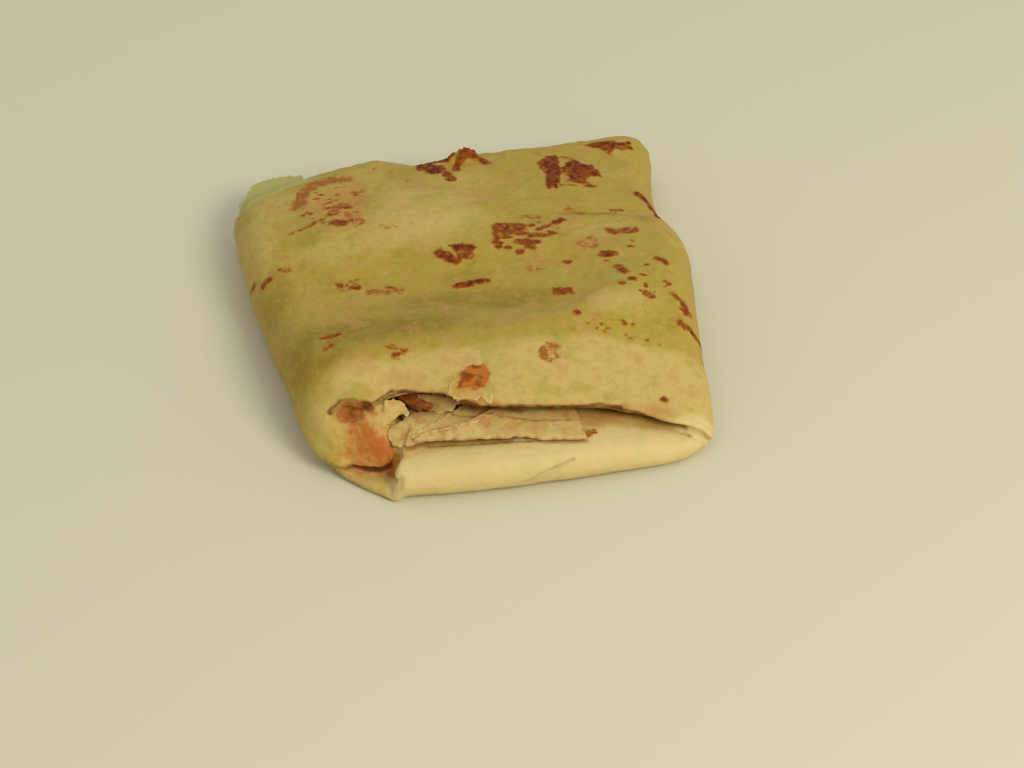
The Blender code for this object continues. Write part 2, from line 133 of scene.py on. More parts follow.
# Scorched marks on the bread: (points of a stroke in mm, half its width, how dark from 0 to 1)
SCORCHED_STROKES = (
    # back left, beside the rust patch
    (((-44, 39.6), (-41, 38.6)), 1.5, 0.55),
    (((-60, 38.5), (-55.5, 40), (-51, 42.3), (-47.5, 44)), 0.45, 0.25),
    (((-54.4, 49.4), (-54, 48.6)), 0.6, 0.2),
    # the blister in the middle of the back edge
    (((-7, 76), (-1, 77), (3, 76.6)), 1.7, 0.8),
    (((-7, 72.6), (-5, 71.2), (-3.2, 68.2)), 2.2, 1),
    (((-1.4, 71.5), (-0.2, 65.2), (1, 60)), 1.3, 0.5),
    (((4.2, 67.5), (5.8, 72.4), (9, 74.6), (13.7, 73), (15.6, 68.8)), 1.1, 0.5),
    # the pair left of the middle
    (((-10.5, 15), (-8.2, 12.6), (-5.7, 10.2)), 1.35, 0.9),
    (((-3.9, 16.2), (-0.6, 15.4)), 1.5, 0.8),
    (((-4, 12.2), (-0.6, 11.3)), 1.2, 0.4),
    # below the twin scorch
    (((43, 51.4), (46.1, 50.2), (49, 47.8)), 1, 0.3),
    (((43.8, 68.4), (47.1, 66.2)), 0.5, 0.3),
    (((38.7, 48.3), (44.1, 47.6)), 0.5, 0.2),
    (((47.5, 46.7), (50.8, 46.3)), 0.5, 0.2),
    # the back right corner and the right edge
    (((64.6, 72.7), (68.1, 71.5)), 1.6, 0.35),
    (((65.2, 72.8), (67.5, 73.7), (69.6, 74.6)), 0.6, 0.9),
    (((66, 40), (69, 36.5), (71, 30), (71.5, 24)), 1.5, 0.75),
    (((54, 28.6), (57, 28.9)), 0.9, 0.4),
    (((49.1, 14.2), (50.9, 10.9)), 1, 0.35),
    (((54, 12), (57.7, 11.1)), 1.7, 0.3),
    # the cluster in the middle
    (((11.5, 25), (15.6, 24.1), (19.8, 23.2)), 1.2, 0.45),
    (((14.4, 21.3), (18.9, 20.3)), 2, 0.55),
    (((11.2, 23.2), (10.6, 18.5), (9.6, 14.5)), 1.1, 0.4),
    (((10.4, 14.4), (10.2, 13.8)), 1.2, 0.7),
    (((19.8, 23.2), (23.9, 22.4)), 0.8, 0.35),
    (((25.3, 20.2), (29.1, 21.4), (33.9, 23.8)), 0.7, 0.4),
    (((32.2, 23), (34, 23.8)), 1.1, 0.7),
    (((29.3, 16.4), (29.8, 16)), 1.1, 0.5),
    (((21.7, 16.7), (26.5, 15.6)), 0.9, 0.45),
    (((17.6, 13.6), (22.7, 12.3)), 1.4, 0.55),
    (((19.4, 10.2), (22.1, 9.4)), 0.7, 0.5),
    (((16.4, 8.8), (17.1, 8.5)), 0.9, 0.7),
    (((12.8, 12.1), (13.3, 11.8)), 0.7, 0.6),
    # scattered spots right of the middle
    (((44.1, -0.8), (46.8, -1.8)), 1.3, 0.75),
    (((46.8, -1.8), (48.6, -2.5)), 0.5, 0.5),
    (((31.2, -1.5), (32, -1.8)), 0.8, 0.5),
    (((47, -11.2), (48.9, -14.5)), 1.1, 0.7),
    (((50.2, -20), (50.9, -20.3)), 1, 0.65),
    (((46.4, -21.8), (46.9, -22.1)), 0.8, 0.2),
    (((61.8, -8.9), (64, -11.4)), 1, 0.6),
    (((61.3, -22.3), (61.8, -22.6)), 0.8, 0.2),
    (((-7.6, -3.2), (-3, -2.6), (0.8, -2.7)), 1.1, 0.95),
    (((0.8, -2.7), (3.2, -3.3)), 0.5, 0.5),
    (((27.9, -35.2), (28.1, -35.8)), 0.8, 0.6),
    (((53.4, -27.7), (55, -29.6)), 0.9, 0.6),
    (((62.7, -27.7), (64.2, -30.4)), 0.7, 0.4),
    (((65.4, -32), (65.2, -35.3)), 1.1, 0.85),
    (((65.6, -33.6), (67.3, -34)), 0.5, 0.5),
    (((62.9, -41.9), (65.4, -43.2), (67.3, -44.2), (68.8, -44)), 0.75, 0.6),
    (((62.7, -41.4), (64.4, -42.2)), 1.1, 0.6),
    # left side
    (((-72.6, 15.6), (-70.2, 17)), 0.9, 0.5),
    (((-76.6, 20.7), (-75.8, 20.3)), 0.7, 0.2),
    (((-66.2, 20.1), (-63.5, 19.3)), 0.8, 0.2),
    (((-47.6, 7.4), (-46.9, 7)), 0.9, 0.4),
    (((-44.6, 6.6), (-42.9, 8.2), (-41.5, 6)), 0.5, 0.35),
    (((-43.1, 4.5), (-41.1, 4)), 0.8, 0.4),
    (((-56.9, -29.2), (-51.6, -27.7)), 0.85, 0.5),
    (((-57.4, -35.7), (-54.4, -33.5)), 0.7, 0.15),
    (((-35.2, -44.6), (-32, -43.8)), 0.6, 0.3),
    # at the lip, and the speck in the recess right of the flap
    (((22.6, -79.5), (24.2, -79)), 0.8, 0.3),
    (((48.9, -72.6), (50.3, -72.6)), 0.6, 0.4),
)

# Scorched patches with a shape of their own: (outline in mm, how dark)
SCORCHED_PATCHES = (
    (((34.2, 66), (38, 69.4), (41.5, 69.8), (41, 63), (40.7, 57.6), (38.6, 50), (37.2, 47.4),
      (34.4, 47.6), (34.6, 52), (35.8, 57), (34.6, 61)), 0.95),
    (((41.9, 59.6), (44.4, 63.6), (47.6, 65.2), (48.9, 61.8), (52.3, 60.6), (54.2, 56), (54.8, 52.4),
      (50.6, 54.4), (48.4, 51.2), (44.7, 51.4), (42.4, 54.4)), 0.85),
    (((53.6, 75.6), (58.9, 76), (63.6, 76.4), (65.1, 73.6), (62.9, 71.2), (61.6, 66.8), (59.2, 71.2)), 0.9),
    (((23.6, -15), (30, -16.6), (29.6, -20.6), (23.2, -19)), 0.45),
)

# Areas strewn with ragged specks: (outline in mm, how strongly, how dark)
SPECKLED_AREAS = (
    (((10.5, 26.5), (22, 25.5), (33, 25), (34.5, 21), (27, 14), (21, 8), (12, 9),
      (8.5, 14)), 0.36, 0.35),
    (((-56, 58), (-50, 68), (-36, 68), (-30, 52), (-34, 38), (-44, 37),
      (-52, 44)), 0.42, 0.16),
    (((42, 2), (58, 4), (66, -14), (63, -32), (50, -30), (44, -12)), 0.16, 0.4),
    (((27, -36), (44, -34), (54, -44), (50, -52), (34, -48)), 0.20, 0.02),
    (((-10, 18), (2, 18), (1, 9), (-7, 8)), 0.28, 0.5),
    (((-48, 9), (-38, 10), (-24, 2), (-26, -3), (-40, 0)), 0.24, 0.2),
)

# Rust coloured stains, softer: (points of a stroke in mm, half its width, strength)
RUST_STROKES = (
    (((-55.3, 56.5), (-53.6, 62), (-51, 67.2), (-48, 69.8), (-42, 71.2), (-36.6, 70)), 1.9, 0.9),
    (((-30.9, 59.8), (-33.1, 54.3), (-34.5, 49.6)), 0.9, 0.4),
    (((-42.8, 48.8), (-39.6, 50.4)), 1.5, 0.9),
    (((-46.7, 51.6), (-46.2, 51.2)), 0.8, 0.6),
    (((-45.3, 45.4), (-44.9, 45)), 0.8, 0.6),
    (((-37, 49), (-36.4, 48.8)), 0.8, 0.6),
    (((-38, 44), (-36, 38)), 2.2, 0.5),
    (((-28.9, 33.4), (-24.1, 32.2)), 0.9, 0.4),
    (((38, 32.1), (40.4, 29.6), (43.1, 27.4)), 0.9, 0.6),
    (((22.3, 29.2), (26.8, 28.4)), 1.1, 0.6),
    (((37.8, 8.2), (39.4, 10.7), (41.9, 10.7), (43.6, 7.4), (42.1, 4.8), (39.4, 5), (37.8, 8.2)), 0.7, 0.7),
    (((17.7, -0.9), (22.3, -2.4)), 1.2, 0.4),
    (((-46.6, 4.7), (-43.9, 4.1)), 1.2, 0.5),
    (((-37.4, 0.8), (-32.4, -1.2), (-29.8, 0.2), (-26.8, -0.6)), 0.75, 1),
    (((-36.2, -40.8), (-32.2, -43.2), (-34.6, -44.6)), 1.2, 0.6),
    (((17.9, -49.7), (14.9, -49.4), (12.8, -51.7), (14.2, -54.6), (16.9, -54.6)), 0.8, 0.9),
    (((15.4, -52.2), (16.2, -52)), 1.2, 0.5),
    (((16, -29.5), (16.8, -29.8)), 0.7, 0.4),
    (((50, -35.9), (50.4, -36.1)), 0.6, 0.35),
    (((54.2, -39.8), (54.7, -40.1)), 0.6, 0.35),
)

# The scorch on the torn tongue of the lip, orange-red with darker rims
TONGUE_SCORCH = ((-17, -61.4), (-15.4, -56.9), (-11.8, -53.6), (-6.8, -53.4), (-5.8, -58.6), (-8.6, -63.6),
                 (-13, -62.8))

# Soft fields over the bread, seen from above: (x, y, half width, half depth in mm, strength)
CREAM_FIELDS = (
    (-58, 62, 14, 10, 0.5), (-20, 47, 28, 18, 0.7), (-12, 31, 24, 11, 0.9),
    (-44, 25, 22, 8, 0.6), (48, 17, 16, 7, 0.6), (44, -30, 16, 7, 0.7),
    (8, 60, 12, 8, 0.4), (-62, -59, 12, 9, 0.8), (-72, 40, 10, 30, 0.6),
    (-32, 70, 14, 8, 0.4),
)
# Olive tone of the dough, with painted shade in the valley behind the front roll and on the left side
OLIVE_AND_SHADE_FIELDS = (
    (-48, -27, 26, 11, 1), (-26, -29, 22, 9, 1), (-12, -11, 26, 8, 0.8),
    (12, -18, 18, 8, 0.9), (-69, 12, 9, 30, 0.75), (-60, -37, 12, 11, 1),
    (-4, 2, 12, 5, 0.6), (36, 62, 30, 16, 0.25), (66, 38, 8, 12, 0.4),
    (4, -36, 14, 5, 0.4), (-16, 71, 12, 7, 0.4),
)
SAUCE_FIELDS = (
    (-44.2, -71, 4.6, 3.8, 1), (-51.5, -63.4, 5, 3.2, 0.62), (-48.5, -67, 5, 3.4, 0.65),
    (-51.6, -69.2, 7, 3, 0.5), (-57.5, -66, 5, 3, 0.28), (-41.5, -74.5, 3, 3, 0.6),
    (-46, -61, 4.5, 2, 0.5), (-37, -76.5, 5, 2.4, 0.3), (-54, -60, 4.5, 2, 0.45),
)
BLUSH_FIELDS = (
    (-42, 54, 15, 12, 1), (-38, 41, 7, 6, 0.8), (44, 57, 12, 11, 0.4),
    (19, 18, 13, 10, 0.6), (-5, 13, 8, 5, 0.45), (26.5, -18, 6, 4, 0.45),
    (40, 8, 6, 5, 0.8), (15.5, -52, 5, 4, 0.8), (-33, -43, 6, 4, 0.5),
    (-44, -58, 12, 8, 0.35), (-14, -61, 8, 8, 0.75), (-52, -74, 12, 6, 0.5),
    (1, 71, 12, 7, 0.6), (60, 72, 9, 5, 0.4), (-36, 1, 9, 4, 0.4),
)
YELLOW_FIELDS = ((37, -42.5, 5.5, 3, 1), (44, 48, 8, 3, 0.5), (8, 69, 5, 4, 0.6))
# Where a thin greenish ply shows along the back edge
BACK_FILM_FIELDS = ((-15, 77, 9, 5, 1), (30, 82, 26, 6, 0.7))
# Painted shade in the mouth: on the thin layers under the tongue, and in the recesses of the bread
MOUTH_SHADE_FIELDS = ((-9, -65, 8, 3.4, 1), (0, -68, 6, 2, 0.9), (-20, -61.5, 5, 3, 0.5))
RECESS_SHADE_FIELDS = ((30, -70.5, 13, 6, 1), (46, -77, 9, 4, 0.8), (22.5, -79, 2.5, 2, 1),
                 (-2, -66, 16, 7, 1), (-34, -58, 12, 6, 1))

# Faint brown dots on the top, in mm
FAINT_DOTS = ((30.7, -40.4), (33.2, -42.8), (35.3, -41.1), (40.1, -39.6), (46, -41.9), (42.5, -45.7),
              (53, -50.5), (49.1, -48.4), (-25.1, 75), (-14.4, 63.4), (27, 27.6), (56, 29.6))

# The lip over the mouth, with painted tan shade along its turned-in rim
LIP_LINE = ((-41.1, -59.8), (-34.1, -59.2), (-29.5, -61), (-20.7, -64), (-18, -66.6), (-9.3, -68.4),
            (-4.8, -71.4), (1.6, -72.8), (8.1, -73.6), (21.1, -74.6), (40, -76.2), (52, -79))
# Its thin stretch in mm: middle and half width, then how far back and up its rim goes
LIP_THINNED = (-24, 19, 1.7, 1.7)

# Fold and stretch lines pressed into the bread: (points in mm, half width, depth in mm)
PRESSED_LINES = (
    (((-38.4, -19.5), (-30.4, -23.9), (-22.1, -25), (-15.5, -26.3)), 1.2, 0.5),
    (((35, 29.7), (48.9, 26.8), (64.7, 24.7)), 1.5, 0.6),
    (((49.8, -77.8), (56.2, -81.1), (60.2, -82.4)), 0.9, 0.5),
    (((56.3, -78.6), (62, -80.6), (66, -81.4)), 0.8, 0.45),
    (((-72, 30), (-68, 10), (-64, -12)), 1.1, 0.25),
    (((-66, 52), (-64, 30), (-58, 8)), 1.3, 0.2),
    (((-60, 22), (-54, 2), (-52, -14)), 1.2, 0.2),
    (((-30, 62), (-6, 58), (12, 60)), 1.4, 0.2),
    (((4, 44), (24, 40), (40, 42)), 1.3, 0.2),
    (((44, 0), (56, -14), (62, -30)), 1.2, 0.25),
)

# Creases with a place in height too: (points in mm, half width, depth, how brown and shaded they are painted)
CREASES = (
    (((-50.4, -70.1, 4.6), (-45.7, -72.5, 5), (-43, -73.2, 6.4)), 1, 0.5, 1),
    (((-42.5, -73, 9), (-43.5, -80, 5), (-44.5, -86, 2)), 0.7, 0.3, 0.3),
    (((-50.9, -59.6, 22.6), (-47.1, -61.5, 22), (-44.6, -60.8, 22.4), (-41, -58.7, 22.8),
      (-38.4, -57.3, 23.6)), 1, 1.3, 1),
    (((-16, -66.8, 22.2), (-14.3, -68, 21.8), (-12.5, -68.9, 21.4), (-10.3, -69.3, 20.4),
      (-7, -70.4, 20), (-3.5, -71.4, 19.8)), 1.5, 0, 1),
    (((-2.3, -88.9, 3.6), (6, -89.5, 7.7), (15.6, -87.8, 10.5)), 0.4, 0.7, 0.3),
    (((1.5, -88.9, 3.9), (9, -89.3, 6.9), (17.6, -87, 9.6)), 0.3, 0.5, 0.2),
    (((-59.2, -57, 19), (-55.3, -56.5, 22.2), (-51.7, -57.8, 23.3), (-48.8, -60.1, 23)), 0.7, 0.8, 0.8),
    (((-48.8, -60.1, 23), (-45.8, -61.5, 21.4)), 1.5, 0.9, 1),
    (((-57, -59.6, 18.1), (-53.3, -61.4, 17.6), (-49.3, -61.9, 19)), 0.4, 0.4, 0.5),
    (((-39.2, -71.6, 12.3), (-29.2, -75.4, 13.6), (-16.4, -77.4, 13.7), (-6.7, -78.6, 13.8),
      (6.3, -80.1, 13.5), (20.1, -80.8, 12.8)), 0.1, 0.1, 0.7),
    (((22.8, -73.1, 19.3), (27.7, -73.3, 19.8), (34.1, -74.6, 17.6), (40.4, -76.6, 16), (47.3, -78, 12.5),
      (56, -81.6, 8.2)), 0.4, 0.2, 0.75),
    (((-38.4, -57.3, 23.6), (-34, -57.8, 23.8), (-29.5, -59.8, 23.4), (-21.5, -62.6, 23.6)), 0.6, 0.3, 0.9),
    (((-56, -62, 15.5), (-51, -66, 12), (-46, -70, 9.5)), 0.7, 0.4, 0.3),
    (((-60, -60, 13), (-55, -66, 9.5)), 0.8, 0.4, 0.15),
    (((-50, -62, 18), (-47, -67, 13)), 0.6, 0.4, 0.3),
    (((-7, -70.4, 21.6), (1.6, -71.8, 21.6), (8.1, -72.8, 21), (21.1, -73.8, 19.6), (34, -74.6, 18)),
     0.7, 0.2, 1),
)

# The side fold's lower edge, which lies over the lowest layer: (x, height) in mm
SIDE_FOLD_EDGE = ((-70, 9), (-67.7, 6.6), (-64, 5.4), (-58, 5), (-50.4, 4.8), (-45.7, 5.2),
                  (-43.1, 6.2), (-41.6, 8.2), (-40, 10))
SIDE_FOLD_STEP, SIDE_FOLD_REACH = 1.1, 5.0  # how proud the edge stands, and how far up it fades, in mm

# The pocket at the lip's left end: (middle, half widths, depth) in mm
POCKET_PLACE, POCKET_SPAN, POCKET_DEPTH = (-53.2, -59.4, 20.2), (5, 2.8, 2.4), 2.6

# Torn bits of dough, as corners with their heights in mm
TONGUE_OUTLINE = ((-17.6, -57.4, 26.5), (-20.3, -59.6, 25.4), (-21.2, -62.6, 24.3), (-19.9, -64.9, 23.3),
                  (-17.9, -66.5, 22.9), (-16, -66, 23.4), (-14.2, -66.2, 23.6), (-12, -68.2, 23.2),
                  (-10.8, -66.8, 24.2), (-9.6, -69, 23.6), (-7.9, -70.6, 22.6), (-6.4, -67.4, 24.6),
                  (-5.4, -60.6, 26.4), (-5.8, -55, 27.6), (-8.7, -50.5, 28.4), (-13.6, -52, 27.6))
LOBE_OUTLINE = ((-44.5, -59.2, 22.2), (-40.9, -58, 22.3), (-38, -57, 21.4), (-35.8, -57.8, 20.6),
                (-33.7, -60.4, 19.6), (-33, -62.6, 18.6), (-34.6, -63.6, 17.8), (-36.8, -62.6, 17.6),
                (-39.2, -64.5, 17.4), (-41.3, -66.4, 17.4), (-43.6, -67.6, 17.4), (-48, -65, 18.4),
                (-48.4, -61.8, 20.8))
LAYER_END_OUTLINE = ((-42.9, -69.2, 15.4), (-42.2, -67, 16.5), (-40.4, -65.5, 16.8), (-37.1, -63.2, 16.6),
                     (-33.6, -61.6, 16.5), (-30.2, -61, 16.3), (-26.1, -60.2, 16.2), (-22, -62, 16),
                     (-27, -68.6, 15.4), (-34, -73, 14.9), (-37.1, -74, 14.4), (-40.3, -73.8, 13.8),
                     (-42.2, -71, 14))
FLAP_CORNER_OUTLINE = ((-36.6, -72.9, 15), (-32.6, -71, 15.9), (-27, -67.4, 16.4), (-21.6, -64.2, 17),
                       (-17.2, -61.6, 18.2), (-12, -61, 19.2), (-5, -63, 19), (-3, -68, 17.4),
                       (-8, -72, 15.4), (-20, -73.6, 15), (-32, -74.4, 14.6))
MOUTH_LAYER_OUTLINE = ((-30.6, -55.3, 21), (-27.4, -56.2, 21.2), (-24.3, -57.2, 21), (-20.3, -58.6, 21),
                       (-17, -60.5, 20.4), (-16.5, -62.5, 19), (-19.4, -63.6, 17.6), (-23.8, -64.2, 16.4),
                       (-27.6, -61.6, 16.6), (-30.2, -58.5, 18.6))
FILM_OUTLINE = ((-76.8, 58, 15), (-77.2, 66, 15), (-75.2, 74.8, 15), (-71.6, 81.2, 15),
                (-69.4, 85.6, 15), (-65.5, 87.6, 15), (-60.5, 88.4, 15), (-55, 88.6, 15),
                (-52.1, 87.6, 15), (-51.1, 89.4, 15.6), (-50, 85.6, 15), (-46.4, 83.6, 15),
                (-45, 79, 15), (-56, 76, 15), (-66, 71, 15), (-71, 62, 15))
# The side where a torn bit grows out of what it lies on: (place, direction, length), in mm
TONGUE_ROOT = ((-11, -59), (0.55, 0.83), 3.5)
LOBE_ROOT = ((-41.5, -62), (-1, 0.2), 3.5)

# Torn bits of the bread itself: (name, outline, thickness in mm, curl of the edge in mm, seed, root, how pale
# the edge is)
TORN_BREAD = (
    ("torn_tongue", TONGUE_OUTLINE, 0.9, 0.25, 70, TONGUE_ROOT, 0.9),
    ("side_fold_lobe", LOBE_OUTLINE, 0.9, 0.1, 80, LOBE_ROOT, 0.9),
    ("back_left_film", FILM_OUTLINE, 0.5, 0.1, 100, None, 0.0),
)
LAYER_THICKNESS = 0.7  # mm, of the torn ends of the inner layers

# The bit of filling in the mouth: middle and size in mm, and its turn
CHUNK_PLACE, CHUNK_SIZE, CHUNK_TURN = (-29.6, -58.6, 18.6), (8.6, 2.4, 2.2), -0.72

# The curled bubble that stands up at the back edge: middle, half widths, height and scorched crest in mm
BUBBLE_PLACE, BUBBLE_SPAN, BUBBLE_HEIGHT = (8, 75), (5.6, 3.6), 5.0
BUBBLE_CREST = ((2.7, 76), (13.1, 76))

# Spots on the sides that the photo doesn't show
HIDDEN_SPOTS, HIDDEN_SEED = 46, 17


def clear_selection():
    """Object mode, with nothing selected."""
    if bpy.context.object and bpy.context.object.mode != "OBJECT":
        bpy.ops.object.mode_set(mode="OBJECT")
    bpy.ops.object.select_all(action="DESELECT")


def choose(piece):
    """Makes a piece the one selected, active object."""
    clear_selection()
    piece.select_set(True)
    bpy.context.view_layer.objects.active = piece


def copy_of(node, name):
    """A copy of a solid under a new name, with its loose triangles merged."""
    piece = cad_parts[node].copy()
    piece.data = piece.data.copy()
    piece.name = name
    for key in list(piece.keys()):
        del piece[key]
    bpy.context.scene.collection.objects.link(piece)
    piece.parent = None
    choose(piece)
    bpy.ops.object.mode_set(mode="EDIT")
    bpy.ops.mesh.select_all(action="SELECT")
    bpy.ops.mesh.remove_doubles(threshold=0.00001)
    bpy.ops.object.mode_set(mode="OBJECT")
    return piece


def modify(piece, kind, **settings):
    """Adds a modifier with its settings and applies it."""
    choose(piece)
    made = piece.modifiers.new(kind.lower(), kind)
    for setting, value in settings.items():
        setattr(made, setting, value)
    bpy.ops.object.modifier_apply(modifier=made.name)


def places(piece):
    """The mesh's points in millimetres, as an array."""
    flat = np.empty(len(piece.data.vertices) * 3)
    piece.data.vertices.foreach_get("co", flat)
    return flat.reshape(-1, 3) / MM


def facing(piece):
    """The direction that the mesh faces at each point."""
    flat = np.empty(len(piece.data.vertices) * 3)
    piece.data.vertices.foreach_get("normal", flat)
    return flat.reshape(-1, 3)


def put_back(piece, points):
    """Moves the mesh's points to places in millimetres, kept inside the solid's box."""
    low = np.array(CAD_BOX[0]) + MARGIN
    high = np.array(CAD_BOX[1]) - MARGIN
    low[2] = CAD_BOX[0][2]
    piece.data.vertices.foreach_set("co", np.clip(points * MM, low, high).reshape(-1))
    piece.data.update()


def group_of(piece, name, weights):
    """A vertex group with a weight for each point, in tenths."""
    group = piece.vertex_groups.new(name=name)
    for step in range(1, 11):
        chosen = np.nonzero(np.round(weights * 10) == step)[0]
        group.add([int(i) for i in chosen], step / 10.0, "REPLACE")


def paint(piece, name, red, green, blue):
    """A colour attribute that holds three fields over the surface."""
    layer = piece.data.attributes.new(name, "FLOAT_COLOR", "POINT")
    values = np.ones((len(piece.data.vertices), 4), np.float32)
    for column, field in enumerate((red, green, blue)):
        values[:, column] = np.clip(field, 0.0, 1.0)
    layer.data.foreach_set("color", values.reshape(-1))


def eased(values):
    """0 to 1 with an easy start and end."""
    held = np.clip(values, 0.0, 1.0)
    return held * held * (3.0 - 2.0 * held)


def stroke_distance(points, stroke):
    """How far each point is from a stroke in mm, seen from above if the stroke gives no heights."""
    best = np.full(len(points), 1e9)
    read = points[:, :len(stroke[0])]
    for start, end in zip(stroke[:-1], stroke[1:]):
        start, end = np.array(start), np.array(end)
        run = end - start
        share = np.clip(((read - start) @ run) / max(run @ run, 1e-9), 0.0, 1.0)
        best = np.minimum(best, np.linalg.norm(read - start - share[:, None] * run, axis=1))
    return best


def patch_distance(points, outline):
    """How far each point is outside an outline, seen from above, in mm. Inside it is negative."""
    inside = np.zeros(len(points), bool)
    x, y = points[:, 0], points[:, 1]
    for (x0, y0), (x1, y1) in zip(outline, outline[1:] + outline[:1]):
        crosses = (y0 > y) != (y1 > y)
        if y1 != y0:
            inside ^= crosses & (x < (x1 - x0) * (y - y0) / (y1 - y0) + x0)
    edge = stroke_distance(points, tuple(outline) + (outline[0],))
    return np.where(inside, -edge, edge)


def ripple(points, size, seed):
    """Smooth unevenness from -1 to 1, with bumps of about a size in mm."""
    shift = Vector((seed * 7.13, seed * 3.71, seed * 5.37))
    return np.array([noise.noise(Vector(p) / size + shift) for p in points])


def soft_field(points, fields):
    """Some soft oval fields joined smoothly, as their strength at each point, seen from above."""
    value = np.zeros(len(points))
    for x, y, wide, deep, strength in fields:
        away = np.hypot((points[:, 0] - x) / wide, (points[:, 1] - y) / deep)
        value = 1.0 - (1.0 - value) * (1.0 - strength * np.exp(-(away * 1.1) ** 2))
    return value


def mark_field(distance, half, blur):
    """0 well outside a mark, 0.5 at its edge and 1 well inside it."""
    return eased(0.5 + (half - distance) / (2.0 * blur))


def hidden_spots(points, normals):
    """Scorched spots by chance on the back, the sides and underneath, as on the shown side."""
    draw = np.random.default_rng(HIDDEN_SEED)
    low, high = points.min(axis=0), points.max(axis=0)
    burn = np.zeros(len(points))
    for _ in range(HIDDEN_SPOTS):
        middle = draw.uniform(low, high) * (1.0, 1.0, 0.0) + (0.0, 0.0, draw.uniform(0.0, 9.0))
        wide, deep, dark = draw.uniform(0.8, 3.0), draw.uniform(0.6, 1.6), draw.uniform(0.45, 1.0)
        away = np.hypot((points[:, 0] - middle[0]) / wide, (points[:, 1] - middle[1]) / deep)
        burn = np.maximum(burn, dark * mark_field(away, 1.0, 0.5))
    toward = np.array(CAMERA_PLACE) / np.linalg.norm(CAMERA_PLACE)
    return burn * eased((0.02 - normals @ toward) / 0.15)


def near_marks(points):
    """Distance in mm from each point to the nearest mark, crease or fold edge that needs a finer skin."""
    strokes = [mark[:2] for mark in SCORCHED_STROKES + CREASES]
    strokes += [(stroke, half) for stroke, half, _ in RUST_STROKES if half < NARROW_RUST]
    gaps = [stroke_distance(points, stroke) - half for stroke, half in strokes]
    outlines = [outline for outline, _ in SCORCHED_PATCHES] + [TONGUE_SCORCH]
    gaps += [np.abs(patch_distance(points, outline)) for outline in outlines]
    off_fold = 2.0 * FINE_REACH * ((points[:, 1] > -38.0) | (points[:, 0] > -40.0))
    gaps.append(np.abs(above_fold_edge(points)) + off_fold)
    return np.min(gaps, axis=0)


def above_fold_edge(points):
    """How far above the side fold's lower edge each point is, in mm."""
    edge_x, edge_z = zip(*SIDE_FOLD_EDGE)
    return points[:, 2] - np.interp(points[:, 0], edge_x, edge_z)


def select_points(piece, chosen):
    """Selects some of the mesh's points and nothing else, and opens the mesh for editing."""
    mesh = piece.data
    for part in (mesh.vertices, mesh.edges, mesh.polygons):
        part.foreach_set("select", np.zeros(len(part), bool))
    mesh.vertices.foreach_set("select", chosen)
    choose(piece)
    bpy.ops.object.mode_set(mode="EDIT")


def refine(piece, chosen):
    """Cuts the faces round some points in four."""
    select_points(piece, chosen)
    bpy.ops.mesh.select_mode(type="VERT")
    bpy.ops.mesh.select_mode(type="FACE")
    bpy.ops.mesh.subdivide(number_cuts=1)
    bpy.ops.object.mode_set(mode="OBJECT")


def tree_of_all(pieces):
    """A search tree over the faces of some pieces."""
    corners, faces = [], []
    for piece in pieces:
        start = len(corners)
        corners += [v.co for v in piece.data.vertices]
        faces += [tuple(start + i for i in p.vertices) for p in piece.data.polygons]
    return BVHTree.FromPolygons(corners, faces)


def inner_distance(points):
    """Distance in mm from each point to the filling or the inner layers, where one is near."""
    trees = [tree_of_all([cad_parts[node]]) for node in ("filling", "inner_layer", "inner_flap")]
    result = np.full(len(points), INNER_REACH)
    for i, point in enumerate(points):
        for tree in trees:
            found = tree.find_nearest(Vector(point) * MM, INNER_REACH * MM)
            if found[0] is not None:
                result[i] = min(result[i], found[3] / MM)
    return result


def folded_bread():
    """The whole folded bread: an even skin over the solid's form, then its blisters, folds and marks."""
    piece = copy_of("bread", "folded_bread")
    modify(piece, "REMESH", mode="VOXEL", voxel_size=VOXEL, use_smooth_shade=True)

    points = places(piece)
    in_fold = (inner_distance(points) < FOLD_GAP) & (points[:, 1] > FOLD_FRONT)
    hidden = (points[:, 2] < UNDERSIDE) | in_fold
    front = eased((FRONT_START - points[:, 1]) / FRONT_FADE)
    group_of(piece, "hidden", hidden.astype(float))
    group_of(piece, "even", 1.0 - (1.0 - FRONT_EVEN) * front)
    modify(piece, "SMOOTH", factor=0.5, iterations=EVEN_ROUNDS, vertex_group="even")
    modify(piece, "DECIMATE", ratio=1.0 - (1.0 - HIDDEN_KEEP) * hidden.mean(), vertex_group="hidden",
           vertex_group_factor=10.0)

    points, normals = places(piece), facing(piece)
    shown = (normals[:, 2] > -0.15) & ((points[:, 2] > 8.0) | (points[:, 1] < -40.0))
    refine(piece, shown & (near_marks(points) < FINE_REACH))
    relief(piece)
    shades(piece)
    return piece


def blisters(points):
    """How far the skin swells under the scorched marks, in mm."""
    blister = np.zeros(len(points))
    for stroke, half, dark in SCORCHED_STROKES:
        away = np.maximum(stroke_distance(points, stroke) - 0.4 * half, 0.0)
        swell = np.exp(-(away / (0.9 * half + 0.5)) ** 2)
        blister = np.maximum(blister, swell * (0.14 + 0.24 * dark) * min(half, 1.5))
    for outline, dark in SCORCHED_PATCHES:
        swell = eased(0.5 - patch_distance(points, outline) / 1.8)
        blister = np.maximum(blister, 0.65 * swell * dark)
    return blister


